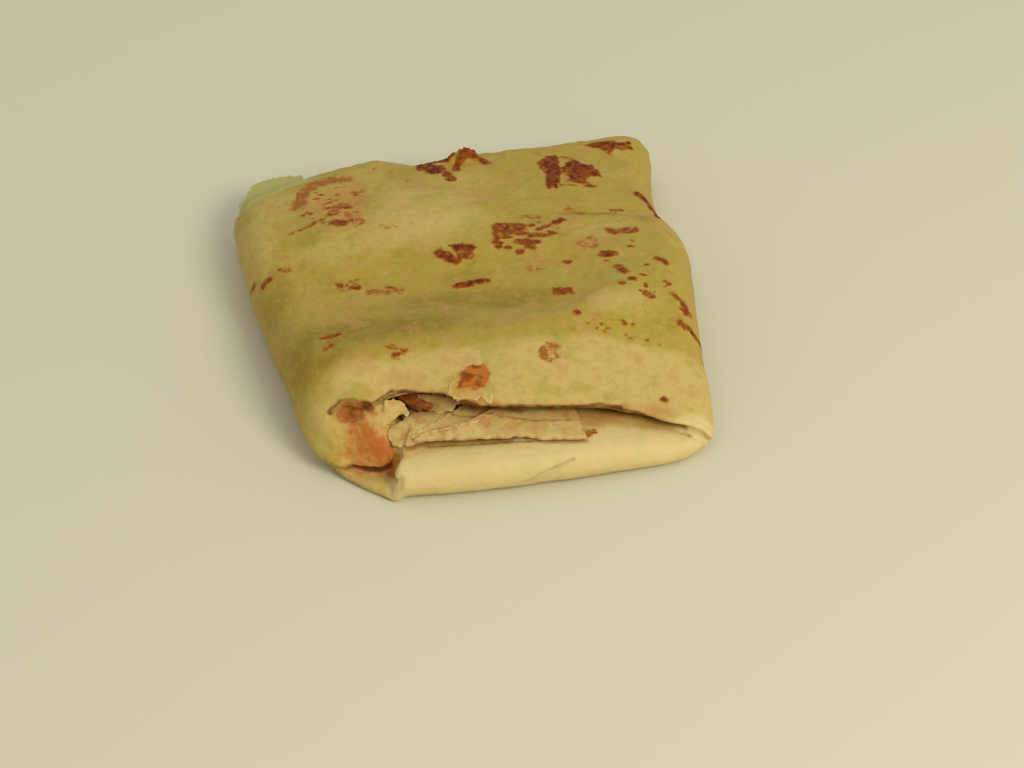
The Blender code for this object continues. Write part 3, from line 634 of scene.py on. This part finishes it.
def relief(piece):
    """Gives the bread its unevenness, blisters, creases, side fold edge, pocket, bubble and thin lip."""
    points, normals = places(piece), facing(piece)
    x, y, z = points.T
    top_side = eased((normals[:, 2] + 0.2) / 0.5) * eased((z - 6.0) / 4.0)
    outer = eased((inner_distance(points) - 0.9) / 1.2)
    off_floor = eased(z / 3.0)
    rough = ripple(points, 1.1, 5)
    height = sum(tall * ripple(points * stretch, size, seed) for stretch, size, tall, seed in SKIN_RIPPLES)
    height += top_side * blisters(points) * (1.0 + 0.6 * rough)

    for stroke, half, deep in PRESSED_LINES:
        away = stroke_distance(points, stroke) / half
        height -= deep * np.exp(-away ** 2) * (1.0 + 0.4 * rough)
    for stroke, half, deep, _ in CREASES:
        away = stroke_distance(points, stroke) / half
        height -= deep * np.exp(-away ** 2)

    above = above_fold_edge(points)
    beside = eased((-38.0 - y) / 10.0) * eased((-38.5 - x) / 2.5)
    proud = SIDE_FOLD_STEP * eased((above + 0.1) / 0.7) * np.exp(-np.maximum(above, 0.0) / SIDE_FOLD_REACH)
    height += beside * proud
    away = (points - np.array(POCKET_PLACE)) / np.array(POCKET_SPAN)
    height -= POCKET_DEPTH * np.exp(-(away ** 2).sum(axis=1))
    height += 0.35 * ripple(points, 3.0, 7) * eased((y - 66.0) / 6.0) * off_floor
    moved = points + normals * (height * outer * (0.15 + 0.85 * off_floor))[:, None]

    across = (x - BUBBLE_PLACE[0]) / BUBBLE_SPAN[0]
    along = (y - BUBBLE_PLACE[1]) / BUBBLE_SPAN[1]
    arch = np.sqrt(np.clip(1.0 - across ** 2, 0.0, 1.0)) * eased(1.0 - np.abs(along))
    moved[:, 2] += BUBBLE_HEIGHT * arch * eased((z - 12.0) / 6.0) * (0.85 + 0.3 * rough)
    middle, wide, back, up = LIP_THINNED
    rim = eased(1.0 - np.abs(x - middle) / wide) * eased((0.75 - normals[:, 2]) / 0.6)
    rim *= eased((6.0 - stroke_distance(points, LIP_LINE)) / 3.0) * eased((z - 17.5) / 2.0)
    moved[:, 1] += back * rim
    moved[:, 2] += up * rim
    put_back(piece, moved)


def scorched(points, fray, tongue):
    """How burnt the shown side is, and the warm glow round its marks."""
    patchy = 0.82 + 0.55 * ripple(points, 1.6, 42)
    burn, glow = np.zeros(len(points)), np.zeros(len(points))
    for stroke, half, dark in SCORCHED_STROKES:
        away = stroke_distance(points, stroke) + fray * min(0.9, 0.35 + 0.4 * half)
        burn = np.maximum(burn, (0.42 + 0.58 * dark) * patchy * mark_field(away, 1.2 * half + 0.25, 1.1))
        glow = np.maximum(glow, (0.4 + 0.5 * dark) * np.exp(-np.maximum(away - half, 0.0) / 1.2))
    for outline, dark in SCORCHED_PATCHES:
        away = patch_distance(points, outline) + 0.9 * fray
        burn = np.maximum(burn, (0.45 + 0.50 * dark) * patchy * mark_field(away, 0.4, 0.9))
        glow = np.maximum(glow, 0.9 * np.exp(-np.maximum(away, 0.0) / 1.2))

    streaks = ripple(points * (0.5, 1.0, 1.0) + (0.0, 0.18, 0.0) * points[:, [0]], 1.7, 43)
    for outline, strength, dark in SPECKLED_AREAS:
        within = eased(0.5 - (patch_distance(points, outline) + 2.0 * fray) / 3.0)
        specks = eased((streaks - 0.5 + strength) / 0.28)
        burn = np.maximum(burn, within * specks * (0.35 + 0.65 * dark))
    for place in FAINT_DOTS:
        dot = mark_field(stroke_distance(points, (place, place)) + 0.6 * fray, 0.75, 0.6)
        burn = np.maximum(burn, 0.42 * dot)
    seared = eased(0.55 + 1.6 * ripple(points, 2.8, 46))
    burn = np.maximum(burn, 0.55 * seared * mark_field(tongue, -0.1, 0.7))
    crest = stroke_distance(points, BUBBLE_CREST) + 0.5 * fray
    return np.maximum(burn, 0.75 * mark_field(crest, 1.2, 0.8) * eased((points[:, 2] - 21.5) / 2.0)), glow


def rust_stains(points, fray):
    """How strong the rust coloured stains are."""
    grainy = 1.05 + 0.9 * ripple(points, 1.5, 44)
    rust = np.zeros(len(points))
    for stroke, half, strength in RUST_STROKES:
        away = stroke_distance(points, stroke) + 1.2 * fray
        rust = np.maximum(rust, strength * grainy * mark_field(away, 1.25 * half + 0.2, 1.6))
    return rust


def thin_ply(points, normals, fray):
    """How far the thin greenish ply shows, at the back left and along the back edge."""
    x, y = points[:, 0], points[:, 1]
    ply_edge = y - (66.0 + 0.35 * (x + 72.0)) + 0.6 * fray
    film = eased((ply_edge + 0.8) / 2.4) * eased((-42.0 - x) / 10.0)
    film = np.maximum(film, 0.9 * eased((y - 77.0 + 1.2 * fray) / 5.0) * eased((-18.0 - x) / 8.0))
    film = np.maximum(film, 0.5 * soft_field(points, BACK_FILM_FIELDS))
    return film * (0.3 + 0.7 * eased((normals[:, 2] - 0.1) / 0.5))


def browned_and_shaded_creases(points, fray, pocket):
    """How brown the side fold's edge, the creases and the pocket are painted: browned seams, and painted shade
    in the creases, in the pocket and under the fold's edge.
    """
    edge = np.abs(above_fold_edge(points) + 0.3) + 0.3 * fray
    crease = 0.9 * mark_field(edge, 0.6, 0.6) * (points[:, 1] < -48.0)
    crease *= eased((-40.5 - points[:, 0]) / 2.0) * eased((points[:, 0] + 64.0) / 12.0)
    for stroke, half, _, brown in CREASES:
        away = stroke_distance(points, stroke) + 0.3 * fray
        crease = np.maximum(crease, brown * mark_field(away, half + 0.3, 0.8))
    return np.maximum(crease, 0.38 * pocket)


def shades(piece, torn=None):
    """Paints the fields that the bread's finish reads. A torn bit has a pale edge, but no rim or crease."""
    points, normals = places(piece), facing(piece)
    x, y, z = points.T
    top_side = eased((normals[:, 2] + 0.25) / 0.3) * eased((z - 7.0) / 2.0)
    fray = 0.75 * ripple(points, 2.3, 40) + 0.5 * ripple(points, 1.0, 41)
    tongue = patch_distance(points, TONGUE_SCORCH) + 1.1 * fray
    away = (points - np.array(POCKET_PLACE)) / (np.array(POCKET_SPAN) + POCKET_DEPTH)
    pocket = eased(1.7 - 1.5 * np.sqrt((away ** 2).sum(axis=1)) + 0.15 * fray)

    burn, glow = scorched(points, fray, tongue)
    burn = np.maximum(burn * top_side, hidden_spots(points, normals) * (0.9 + 0.4 * fray))
    blush = np.maximum(soft_field(points, BLUSH_FIELDS), glow)
    sauce = np.maximum(soft_field(points, SAUCE_FIELDS) * (y < -52.0) * (x < -30.0), 0.75 * pocket)
    sauce = np.maximum(sauce, mark_field(tongue, 0.2, 0.9))

    # The sloping front is painted cream and kept free of olive: partly paler dough, partly painted light where
    # it faces the key light
    painted_light_slope = eased((-41.0 - 0.35 * np.maximum(x - 34.0, 0.0) - y) / 9.0) * eased((x + 64.0) / 13.0)
    cream = np.maximum(soft_field(points, CREAM_FIELDS), 1.15 * painted_light_slope)
    olive = soft_field(points, OLIVE_AND_SHADE_FIELDS) * (1.0 - painted_light_slope)
    # Olive painted along the pressed lines: partly olive tone, partly painted shade in their grooves
    for stroke, half, deep in PRESSED_LINES:
        olive = np.maximum(olive, 1.6 * deep * mark_field(stroke_distance(points, stroke), 0.6 * half, 1.6))

    band = eased((-74.0 - y) / 7.0) * eased((16.0 - z) / 3.0) * eased((x + 47.0) / 4.0)
    if torn is None:
        # Painted tan shade along the lip's turned-in rim, and in the recesses under it and in the mouth
        rim = mark_field(stroke_distance(points, LIP_LINE) + 0.6 * fray, 2.0, 2.6) * eased((z - 16.0) / 3.0)
        rim = np.maximum(rim, soft_field(points, RECESS_SHADE_FIELDS) * eased((19.5 - z) / 1.5))
        crease = browned_and_shaded_creases(points, fray, pocket)
        # Where the bread touches the filling and inner layers: filling stain, and painted shade in the gaps
        # under their edges
        inside = eased((1.2 - inner_distance(points)) / 0.7) * eased((y + 92.0) / 6.0)
    else:
        band = np.maximum(band, torn)
        rim = crease = inside = np.zeros(len(points))

    paint(piece, "marks", burn, rust_stains(points, fray) * top_side, blush)
    paint(piece, "depths", band, thin_ply(points, normals, fray), inside)
    paint(piece, "tones", cream, olive, sauce)
    paint(piece, "tints_and_shade", rim, soft_field(points, YELLOW_FIELDS) * top_side, crease)


def add_node(tree, kind, **settings):
    """A shader node with its own settings."""
    made = tree.nodes.new(kind)
    for setting, value in settings.items():
        setattr(made, setting, value)
    return made


def set_input(tree, socket, value):
    """Links an output to a socket, or sets the socket's own value."""
    if isinstance(value, bpy.types.NodeSocket):
        tree.links.new(value, socket)
    elif hasattr(socket.default_value, "__len__") and len(socket.default_value) == 4 and len(value) == 3:
        socket.default_value = (*value, 1.0)
    else:
        socket.default_value = value


def maths(tree, operation, first, second):
    """A sum, product or other plain step on two values."""
    made = add_node(tree, "ShaderNodeMath", operation=operation)
    set_input(tree, made.inputs[0], first)
    set_input(tree, made.inputs[1], second)
    return made.outputs[0]


def stepped(tree, value, start, stop, low=0.0, high=1.0):
    """A soft step between two values."""
    made = add_node(tree, "ShaderNodeMapRange", interpolation_type="SMOOTHSTEP")
    for socket, number in zip(made.inputs, (value, start, stop, low, high)):
        set_input(tree, socket, number)
    return made.outputs[0]


def mixed(tree, share, first, second):
    """One colour laid over another by a share."""
    made = add_node(tree, "ShaderNodeMix", data_type="RGBA")
    for socket, value in ((0, share), (6, first), (7, second)):
        set_input(tree, made.inputs[socket], value)
    return made.outputs[2]


def fill_in(node, values):
    """Sets some of a node's inputs by name."""
    for name, value in values.items():
        node.inputs[name].default_value = value


def cloud(tree, where, scale, detail=3.0, roughness=0.55, distortion=0.0):
    """Noise of a scale, from 0 to 1."""
    made = add_node(tree, "ShaderNodeTexNoise")
    tree.links.new(where, made.inputs["Vector"])
    fill_in(made, {"Scale": scale, "Detail": detail, "Roughness": roughness, "Distortion": distortion})
    return made.outputs[0]


def split_fields(tree, name):
    """The three fields of a colour attribute."""
    layer = add_node(tree, "ShaderNodeAttribute", attribute_name=name)
    parts = add_node(tree, "ShaderNodeSeparateColor")
    tree.links.new(layer.outputs["Color"], parts.inputs[0])
    return parts.outputs[0], parts.outputs[1], parts.outputs[2]


def dough_grain():
    """Node group: the fine surface of cooked dough. Gives a height, a mottle and the finer noises."""
    group = bpy.data.node_groups.new("dough_grain", "ShaderNodeTree")
    group.interface.new_socket("Vector", in_out="INPUT", socket_type="NodeSocketVector")
    for name in ("Pits", "Bubbles"):
        group.interface.new_socket(name, in_out="INPUT", socket_type="NodeSocketFloat")
    for name in ("Height", "Mottle", *GRAIN_NOISES):
        group.interface.new_socket(name, in_out="OUTPUT", socket_type="NodeSocketFloat")
    start = add_node(group, "NodeGroupInput")
    end = add_node(group, "NodeGroupOutput")
    where = start.outputs["Vector"]
    pits = maths(group, "MULTIPLY", cloud(group, where, 900.0, 4.0, 0.65), start.outputs["Pits"])
    bubbles = add_node(group, "ShaderNodeTexVoronoi", feature="SMOOTH_F1")
    group.links.new(where, bubbles.inputs["Vector"])
    fill_in(bubbles, {"Scale": 170.0})
    domed = stepped(group, bubbles.outputs["Distance"], 0.55, 0.0)
    domes = maths(group, "MULTIPLY", domed, start.outputs["Bubbles"])
    swells = cloud(group, where, 260.0, 2.0)
    height = maths(group, "ADD", maths(group, "ADD", pits, domes), swells)
    mottle = maths(group, "ADD", maths(group, "MULTIPLY", cloud(group, where, 70.0, 4.0, 0.6, 0.4), 0.65),
                   maths(group, "MULTIPLY", cloud(group, where, 330.0, 3.0, 0.6), 0.35))
    group.links.new(height, end.inputs["Height"])
    group.links.new(mottle, end.inputs["Mottle"])
    for name, settings in GRAIN_NOISES.items():
        group.links.new(cloud(group, where, *settings), end.inputs[name])
    return group


def new_finish(name, roughness, scatter, reach):
    """A material with a Principled shader, its tree, its shader and its Object coordinates."""
    made = bpy.data.materials.new(name)
    made.use_nodes = True
    tree = made.node_tree
    shader = tree.nodes["Principled BSDF"]
    fill_in(shader, {"Roughness": roughness, "Subsurface Weight": scatter, "Subsurface Scale": reach,
                     "Subsurface Radius": SCATTER_SPREAD, "Specular IOR Level": DOUGH_SHINE})
    return made, tree, shader, add_node(tree, "ShaderNodeTexCoord").outputs["Object"]


def grain_node(tree, grain, where, pits, bubbles):
    """The dough grain group placed in a material."""
    made = add_node(tree, "ShaderNodeGroup", node_tree=grain)
    tree.links.new(where, made.inputs["Vector"])
    fill_in(made, {"Pits": pits, "Bubbles": bubbles})
    return made.outputs


def bumped(tree, shader, height, strength, distance):
    """Feeds a height to the shader's normal."""
    bump = add_node(tree, "ShaderNodeBump")
    fill_in(bump, {"Strength": strength, "Distance": distance})
    tree.links.new(height, bump.inputs["Height"])
    tree.links.new(bump.outputs[0], shader.inputs["Normal"])


def swayed(tree, field, chance, amount):
    """A painted field made uneven by a chance value round 0.5, and left at 0 where nothing is painted."""
    gate = stepped(tree, field, 0.0, 0.3, 0.0, amount)
    return maths(tree, "ADD", field, maths(tree, "MULTIPLY", maths(tree, "SUBTRACT", chance, 0.5), gate))


def washed(tree, colour, washes):
    """Lays soft washes over a colour: (field, chance, sway, start, stop, strongest share, wash)."""
    for field, chance, sway, start, stop, share, wash in washes:
        if chance is not None:
            field = swayed(tree, field, chance, sway)
        colour = mixed(tree, stepped(tree, field, start, stop, 0.0, share), colour, wash)
    return colour


def bread_finish(grain):
    """Cooked dough: gold and olive, paler where it is raised, with scorched, rust and sauce marks."""
    made, tree, shader, where = new_finish("cooked_bread", 0.55, 0.10, 0.0014)
    surface = grain_node(tree, grain, where, 0.5, 0.35)
    burn, rust, blush = split_fields(tree, "marks")
    band, film, inside = split_fields(tree, "depths")
    cream, olive, sauce = split_fields(tree, "tones")
    rim, yellow, crease = split_fields(tree, "tints_and_shade")
    mottle, ragged, blotch, speckle = (surface[name] for name in ("Mottle", "Ragged", "Blotch", "Speckle"))

    colour = washed(tree, GOLD, (
        (mottle, None, 0.0, 0.53, 0.66, 0.55, CREAM),
        (mottle, None, 0.0, 0.47, 0.34, 0.50, OLIVE),
        # olive field: olive dough, with painted shade in the valley, on the left side and along the pressed
        # lines
        (olive, mottle, 1.6, 0.10, 1.00, 1.00, OLIVE),
        # cream field: cream dough, with painted light on the sloping front
        (cream, mottle, 1.9, 0.05, 0.75, 1.00, CREAM),
        (cream, blotch, 1.9, 0.60, 1.15, 1.00, PALE),
        (blotch, None, 0.0, 0.52, 0.66, 0.50, PINK_CAST),
        (blotch, None, 0.0, 0.48, 0.34, 0.42, GREEN_CAST),
        (speckle, None, 0.0, 0.53, 0.68, 0.26, TAN),
        (speckle, None, 0.0, 0.47, 0.30, 0.26, PALE),
        (band, mottle, 0.5, 0.10, 1.00, 0.72, BAND),
        (film, mottle, 0.6, 0.20, 0.90, 1.00, FILM)))
    colour = mixed(tree, maths(tree, "MULTIPLY", yellow, stepped(tree, ragged, 0.4, 0.6)), colour, YELLOW)
    colour = washed(tree, colour, (
        (blush, ragged, 2.2, 0.15, 1.00, 0.90, BLUSH),
        # painted tan shade on the lip's rim and in the recesses
        (rim, ragged, 0.6, 0.20, 1.00, 0.80, TAN),
        (rust, ragged, 2.6, 0.12, 0.90, 0.95, RUST),
        (sauce, speckle, 1.1, 0.05, 0.90, 0.92, SAUCE),
        # browned seams and painted shade in the creases
        (crease, None, 0.0, 0.00, 0.85, 0.95, CREASE_BROWN_AND_SHADE)))
    # filling stain and painted shade where the bread touches the filling and inner layers
    colour = mixed(tree, maths(tree, "MULTIPLY", inside, 0.85), colour, FILLING_STAIN_AND_SHADE)
    colour = washed(tree, colour, ((burn, speckle, 0.7, 0.04, 0.50, 0.55, SCORCH_RIM),))

    burnt = swayed(tree, swayed(tree, burn, ragged, 0.9), speckle, 0.8)
    ramp = washed(tree, SCORCH_RIM, (
        (burnt, None, 0.0, 0.26, 0.56, 1.00, SCORCH_RED),
        (burnt, None, 0.0, 0.60, 0.90, 1.00, SCORCH_DARK),
        (burnt, None, 0.0, 0.95, 1.25, 1.00, SCORCH_CORE)))
    cover = maths(tree, "MULTIPLY", stepped(tree, burnt, 0.14, 0.46), stepped(tree, burn, 0.03, 0.16))
    colour = mixed(tree, cover, colour, ramp)
    tree.links.new(colour, shader.inputs["Base Color"])

    dull = maths(tree, "ADD", maths(tree, "MULTIPLY", mottle, 0.25), maths(tree, "MULTIPLY", cover, 0.12))
    tree.links.new(maths(tree, "ADD", dull, 0.40), shader.inputs["Roughness"])
    crust = maths(tree, "MULTIPLY", maths(tree, "MULTIPLY", cover, ragged), 1.6)
    bumped(tree, shader, maths(tree, "ADD", surface["Height"], crust), 0.45, 0.0008)
    return made


def thin_finish(grain):
    """Thin translucent dough: cream with a grey-pink cast, paler along its edges, with painted shade under the
    lip and in the mouth.
    """
    made, tree, shader, where = new_finish("thin_bread", 0.48, 0.15, 0.0014)
    surface = grain_node(tree, grain, where, 0.6, 0.3)
    edge, stain, shade = split_fields(tree, "marks")
    blotch = cloud(tree, where, 260.0, 3.0, 0.6)
    colour = washed(tree, THIN_TAN, (
        (surface["Mottle"], None, 0.0, 0.35, 0.65, 1.00, THIN_CREAM),
        (blotch, None, 0.0, 0.52, 0.68, 0.60, THIN_GREEN),
        (blotch, None, 0.0, 0.49, 0.34, 0.85, THIN_PINK)))
    colour = mixed(tree, maths(tree, "MULTIPLY", stain, 0.35), colour, TAN)
    colour = washed(tree, colour, ((shade, blotch, 0.6, 0.10, 1.00, 0.90, THIN_SHADE),))
    colour = mixed(tree, maths(tree, "MULTIPLY", edge, 0.5), colour, THIN_EDGE)
    tree.links.new(colour, shader.inputs["Base Color"])
    bumped(tree, shader, surface["Height"], 0.4, 0.0005)
    return made


def filling_finish(grain):
    """Moist spiced filling: brown to maroon, glossy in places."""
    made, tree, shader, where = new_finish("spiced_filling", 0.35, 0.1, 0.002)
    surface = grain_node(tree, grain, where, 1.0, 1.0)
    lumps = cloud(tree, where, 300.0, 4.0, 0.6)
    colour = washed(tree, FILLING_DARK, (
        (lumps, None, 0.0, 0.35, 0.65, 1.00, FILLING_BROWN),
        (surface["Ragged"], None, 0.0, 0.60, 0.80, 0.50, FILLING_PALE)))
    tree.links.new(colour, shader.inputs["Base Color"])
    tree.links.new(stepped(tree, surface["Mottle"], 0.3, 0.7, 0.25, 0.55), shader.inputs["Roughness"])
    bumped(tree, shader, surface["Height"], 0.6, 0.0008)
    return made


def dress(piece, finish, slot, *nodes):
    """Gives a piece its finish and sets it on the body. The slot is not used."""
    piece.data.materials.clear()
    piece.data.materials.append(finish)
    choose(piece)
    bpy.ops.object.shade_smooth()
    if nodes:
        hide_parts(*nodes)
    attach(piece, "root")


def front_edge(points, slack):
    """1 within a slack, in mm, of a sheet's front edge, for each point."""
    bins = np.round(points[:, 0] / 2.0).astype(int)
    front = {b: points[bins == b, 1].min() for b in set(bins.tolist())}
    return eased(1.0 - (points[:, 1] - np.array([front[b] for b in bins.tolist()])) / slack)


def dressed_sheet(node, name, seed):
    """A thin inner layer: the solid's own form, its visible front finer, with small waves and a torn edge."""
    piece = copy_of(node, name)
    for _ in range(3):
        points = places(piece)
        refine(piece, points[:, 1] < -50.0)
    modify(piece, "SMOOTH", factor=0.5, iterations=4)
    points = places(piece)
    edge = front_edge(points, 2.2)
    points[:, 1] += edge * (0.9 * ripple(points * (1, 0, 0), 2.6, seed) + 0.3)
    flat = points * (1, 1, 0)
    points[:, 2] += 0.20 * ripple(flat, 6.0, seed + 1) + 0.12 * ripple(flat, 2.4, seed + 2)
    put_back(piece, points)
    paint_sheet(piece, points, front_edge(points, 1.0))
    return piece


def paint_sheet(piece, points, edge, depth_shade=1.0):
    """Paints the fields that the thin dough's finish reads: its edge, its stains, and painted shade under the
    lip and deeper in the mouth.
    """
    shade_under_lip = mark_field(stroke_distance(points, LIP_LINE) + 0.5 * ripple(points, 2.0, 50), 0.2, 1.4)
    # Painted shade, darker deeper in the mouth and in the dark wedge under the tongue
    deep = 0.85 * eased((points[:, 1] + 67.0) / 7.0)
    deep = np.maximum(deep, soft_field(points, MOUTH_SHADE_FIELDS))
    stain = 0.5 * eased(ripple(points, 4.0, 51) * 1.4) + 0.5 * eased((points[:, 2] - 25.0))
    paint(piece, "marks", edge, stain, depth_shade * np.maximum(shade_under_lip, deep))


def torn_sheet(under, name, outline, thickness, curl, seed, root):
    """A thin torn bit of dough: a frayed outline seen from above, as high as the outline's corners."""
    corners = np.array(outline)
    low, high = corners[:, :2].min(axis=0) - 1.0, corners[:, :2].max(axis=0) + 1.0
    middle, span = (low + high) / 2.0 * MM, high - low
    clear_selection()
    bpy.ops.mesh.primitive_grid_add(
        x_subdivisions=int(span[0] / TORN_GRID), y_subdivisions=int(span[1] / TORN_GRID),
        size=1.0, location=(middle[0], middle[1], 0.0))
    piece = bpy.context.object
    piece.name = name
    piece.scale = (span[0] * MM, span[1] * MM, 1.0)
    bpy.ops.object.transform_apply(location=True, rotation=True, scale=True)

    points = places(piece)
    flat_outline = tuple(tuple(corner[:2]) for corner in outline)
    fray = 0.7 * ripple(points, 1.6, seed) + 0.3 * ripple(points, 0.8, seed + 1)
    select_points(piece, patch_distance(points, flat_outline) + fray > 0.0)
    bpy.ops.mesh.delete(type="VERT")
    bpy.ops.object.mode_set(mode="OBJECT")

    points = places(piece)
    gaps = np.linalg.norm(points[:, None, :2] - corners[None, :, :2], axis=2)
    weights = 1.0 / (gaps + 0.4) ** 3
    points[:, 2] = (weights * corners[:, 2]).sum(axis=1) / weights.sum(axis=1)
    edge = loose(points, root) * eased(1.0 + patch_distance(points, flat_outline) / 1.6)
    points[:, 2] += curl * edge + 0.25 * ripple(points * (1, 1, 0), 2.4, seed + 2)
    sunk = rooted(points, root)
    for rounds in DRAPE_ROUNDS:
        for i, (x, y, z) in enumerate(points):
            found = under.ray_cast(Vector((x, y, DROP_HEIGHT)) * MM, Vector((0.0, 0.0, -1.0)))[0]
            if found is not None and abs(found.z / MM - z) < SINK_REACH:
                resting = max(z, found.z / MM + REST_GAP + EDGE_GAP * edge[i])
                points[i, 2] = resting * (1.0 - sunk[i]) + (found.z / MM - ROOT_DEPTH) * sunk[i]
        put_back(piece, points)
        modify(piece, "SMOOTH", factor=0.5, iterations=rounds)
        points = places(piece)
    modify(piece, "SOLIDIFY", thickness=thickness * MM, offset=-1.0)
    modify(piece, "SUBSURF", levels=1, render_levels=1)
    return piece, flat_outline


def past_root(points, root):
    """How far each point is past the line where a torn bit grows out of the bread, in root lengths."""
    (x, y), (across, along), length = root
    return ((points[:, 0] - x) * across + (points[:, 1] - y) * along) / length


def rooted(points, root):
    """0 on a torn bit's free part, 1 where it has sunk into the bread that it grows out of."""
    return np.zeros(len(points)) if root is None else eased(past_root(points, root))


def loose(points, root):
    """1 on a torn bit's free part, falling to 0 well before its root."""
    return np.ones(len(points)) if root is None else eased(-past_root(points, root) - 0.3)


def torn_bread(under, name, outline, thickness, curl, seed, root, paleness):
    """A torn bit of the bread itself, paler along its edge."""
    piece, flat_outline = torn_sheet(under, name, outline, thickness, curl, seed, root)
    points = places(piece)
    pale = paleness * eased(1.0 + (patch_distance(points, flat_outline) + 0.3) / 0.9) * loose(points, root)
    shades(piece, pale)
    return piece


def torn_layer(under, name, outline, seed, depth_shade=1.0):
    """A torn bit of an inner layer, which lies over what is round it."""
    piece, flat_outline = torn_sheet(under, name, outline, LAYER_THICKNESS, 0.0, seed, None)
    points = places(piece)
    paint_sheet(piece, points, eased(1.0 + (patch_distance(points, flat_outline) + 0.1) / 0.7), depth_shade)
    return piece


def spiced_chunk():
    """The bit of filling that lies in the mouth: a rounded stick with uneven sides."""
    clear_selection()
    bpy.ops.mesh.primitive_cube_add(size=1.0)
    piece = bpy.context.object
    piece.name = "spiced_chunk"
    piece.scale = [side * MM for side in CHUNK_SIZE]
    bpy.ops.object.transform_apply(location=True, rotation=True, scale=True)
    modify(piece, "BEVEL", width=0.5 * MM, segments=3)
    modify(piece, "SUBSURF", levels=3, render_levels=3, subdivision_type="SIMPLE")
    turn = Matrix.Rotation(CHUNK_TURN, 4, "Z")
    piece.data.transform(Matrix.Translation(Vector(CHUNK_PLACE) * MM) @ turn)
    points, normals = places(piece), facing(piece)
    lumps = 0.30 * ripple(points, 1.9, 61) + 0.16 * ripple(points, 0.9, 62)
    put_back(piece, points + normals * lumps[:, None])
    return piece


def dressed_filling():
    """The filling: the solid's own form with a lumpy, moist front."""
    piece = copy_of("filling", "spiced_filling_mass")
    for _ in range(2):
        points = places(piece)
        refine(piece, points[:, 1] < -52.0)
    modify(piece, "SMOOTH", factor=0.5, iterations=2)
    points, normals = places(piece), facing(piece)
    lumps = 0.22 * ripple(points, 3.4, 31) + 0.14 * ripple(points, 1.6, 32)
    put_back(piece, points + normals * (lumps * eased((-48.0 - points[:, 1]) / 6.0))[:, None])
    return piece


def stage_floor():
    """The plain pale floor."""
    clear_selection()
    bpy.ops.mesh.primitive_plane_add(size=FLOOR_SIZE, location=(0.0, 0.0, 0.0))
    floor = bpy.context.object
    floor.name = "floor"
    made = bpy.data.materials.new("pale_floor")
    made.use_nodes = True
    shader = made.node_tree.nodes["Principled BSDF"]
    fill_in(shader, {"Base Color": FLOOR_COLOUR, "Roughness": FLOOR_ROUGHNESS})
    floor.data.materials.append(made)


def stage_lights():
    """A soft low key from the front right, and an even sky."""
    key = bpy.data.lights.new("key", "AREA")
    key.shape = "DISK"
    key.size, key.energy, key.color = KEY_SIZE, KEY_POWER, KEY_COLOUR
    lamp = bpy.data.objects.new("key", key)
    bpy.context.scene.collection.objects.link(lamp)
    lamp.location = KEY_PLACE
    lamp.rotation_euler = (-Vector(KEY_PLACE)).to_track_quat("-Z", "Y").to_euler()
    sky = bpy.data.worlds.new("soft_sky")
    sky.use_nodes = True
    fill_in(sky.node_tree.nodes["Background"], {"Color": SKY_COLOUR, "Strength": SKY_STRENGTH})
    bpy.context.scene.world = sky
    bpy.context.scene.view_settings.view_transform = "Standard"


def stage_camera():
    """The photo's viewing angle."""
    lens = bpy.data.cameras.new("photo_view")
    lens.lens = CAMERA_LENS
    lens.sensor_width = SENSOR
    camera = bpy.data.objects.new("photo_view", lens)
    bpy.context.scene.collection.objects.link(camera)
    look, up = Vector(CAMERA_LOOK).normalized(), Vector(CAMERA_UP).normalized()
    right = look.cross(up).normalized()
    turn = Matrix((right, up, -look)).transposed()
    camera.matrix_world = Matrix.Translation(CAMERA_PLACE) @ turn.to_4x4()
    bpy.context.scene.camera = camera


def main():
    """Dresses the four solids, adds the torn bits over them, and sets the stage."""
    grain = dough_grain()
    bread, thin, sauced = bread_finish(grain), thin_finish(grain), filling_finish(grain)
    folded = folded_bread()
    dress(folded, bread, "bread", "bread")
    layer = dressed_sheet("inner_layer", "left_inner_layer", 11)
    dress(layer, thin, "thin_bread", "inner_layer")
    flap = dressed_sheet("inner_flap", "right_inner_flap", 21)
    dress(flap, thin, "thin_bread", "inner_flap")
    dress(dressed_filling(), sauced, "filling", "filling")

    under = tree_of_all((folded, layer))
    for torn_bit in TORN_BREAD:
        dress(torn_bread(under, *torn_bit), bread, "bread")
    layer_end = torn_layer(under, "left_layer_torn_end", LAYER_END_OUTLINE, 90)
    dress(layer_end, thin, "thin_bread")
    over_layers = tree_of_all((folded, layer, flap, layer_end))
    dress(torn_layer(over_layers, "right_flap_torn_corner", FLAP_CORNER_OUTLINE, 95), thin, "thin_bread")
    dress(torn_layer(over_layers, "layer_in_the_mouth", MOUTH_LAYER_OUTLINE, 105, 0.6), thin, "thin_bread")
    dress(spiced_chunk(), sauced, "filling")

    stage_floor()
    stage_lights()
    stage_camera()


main()
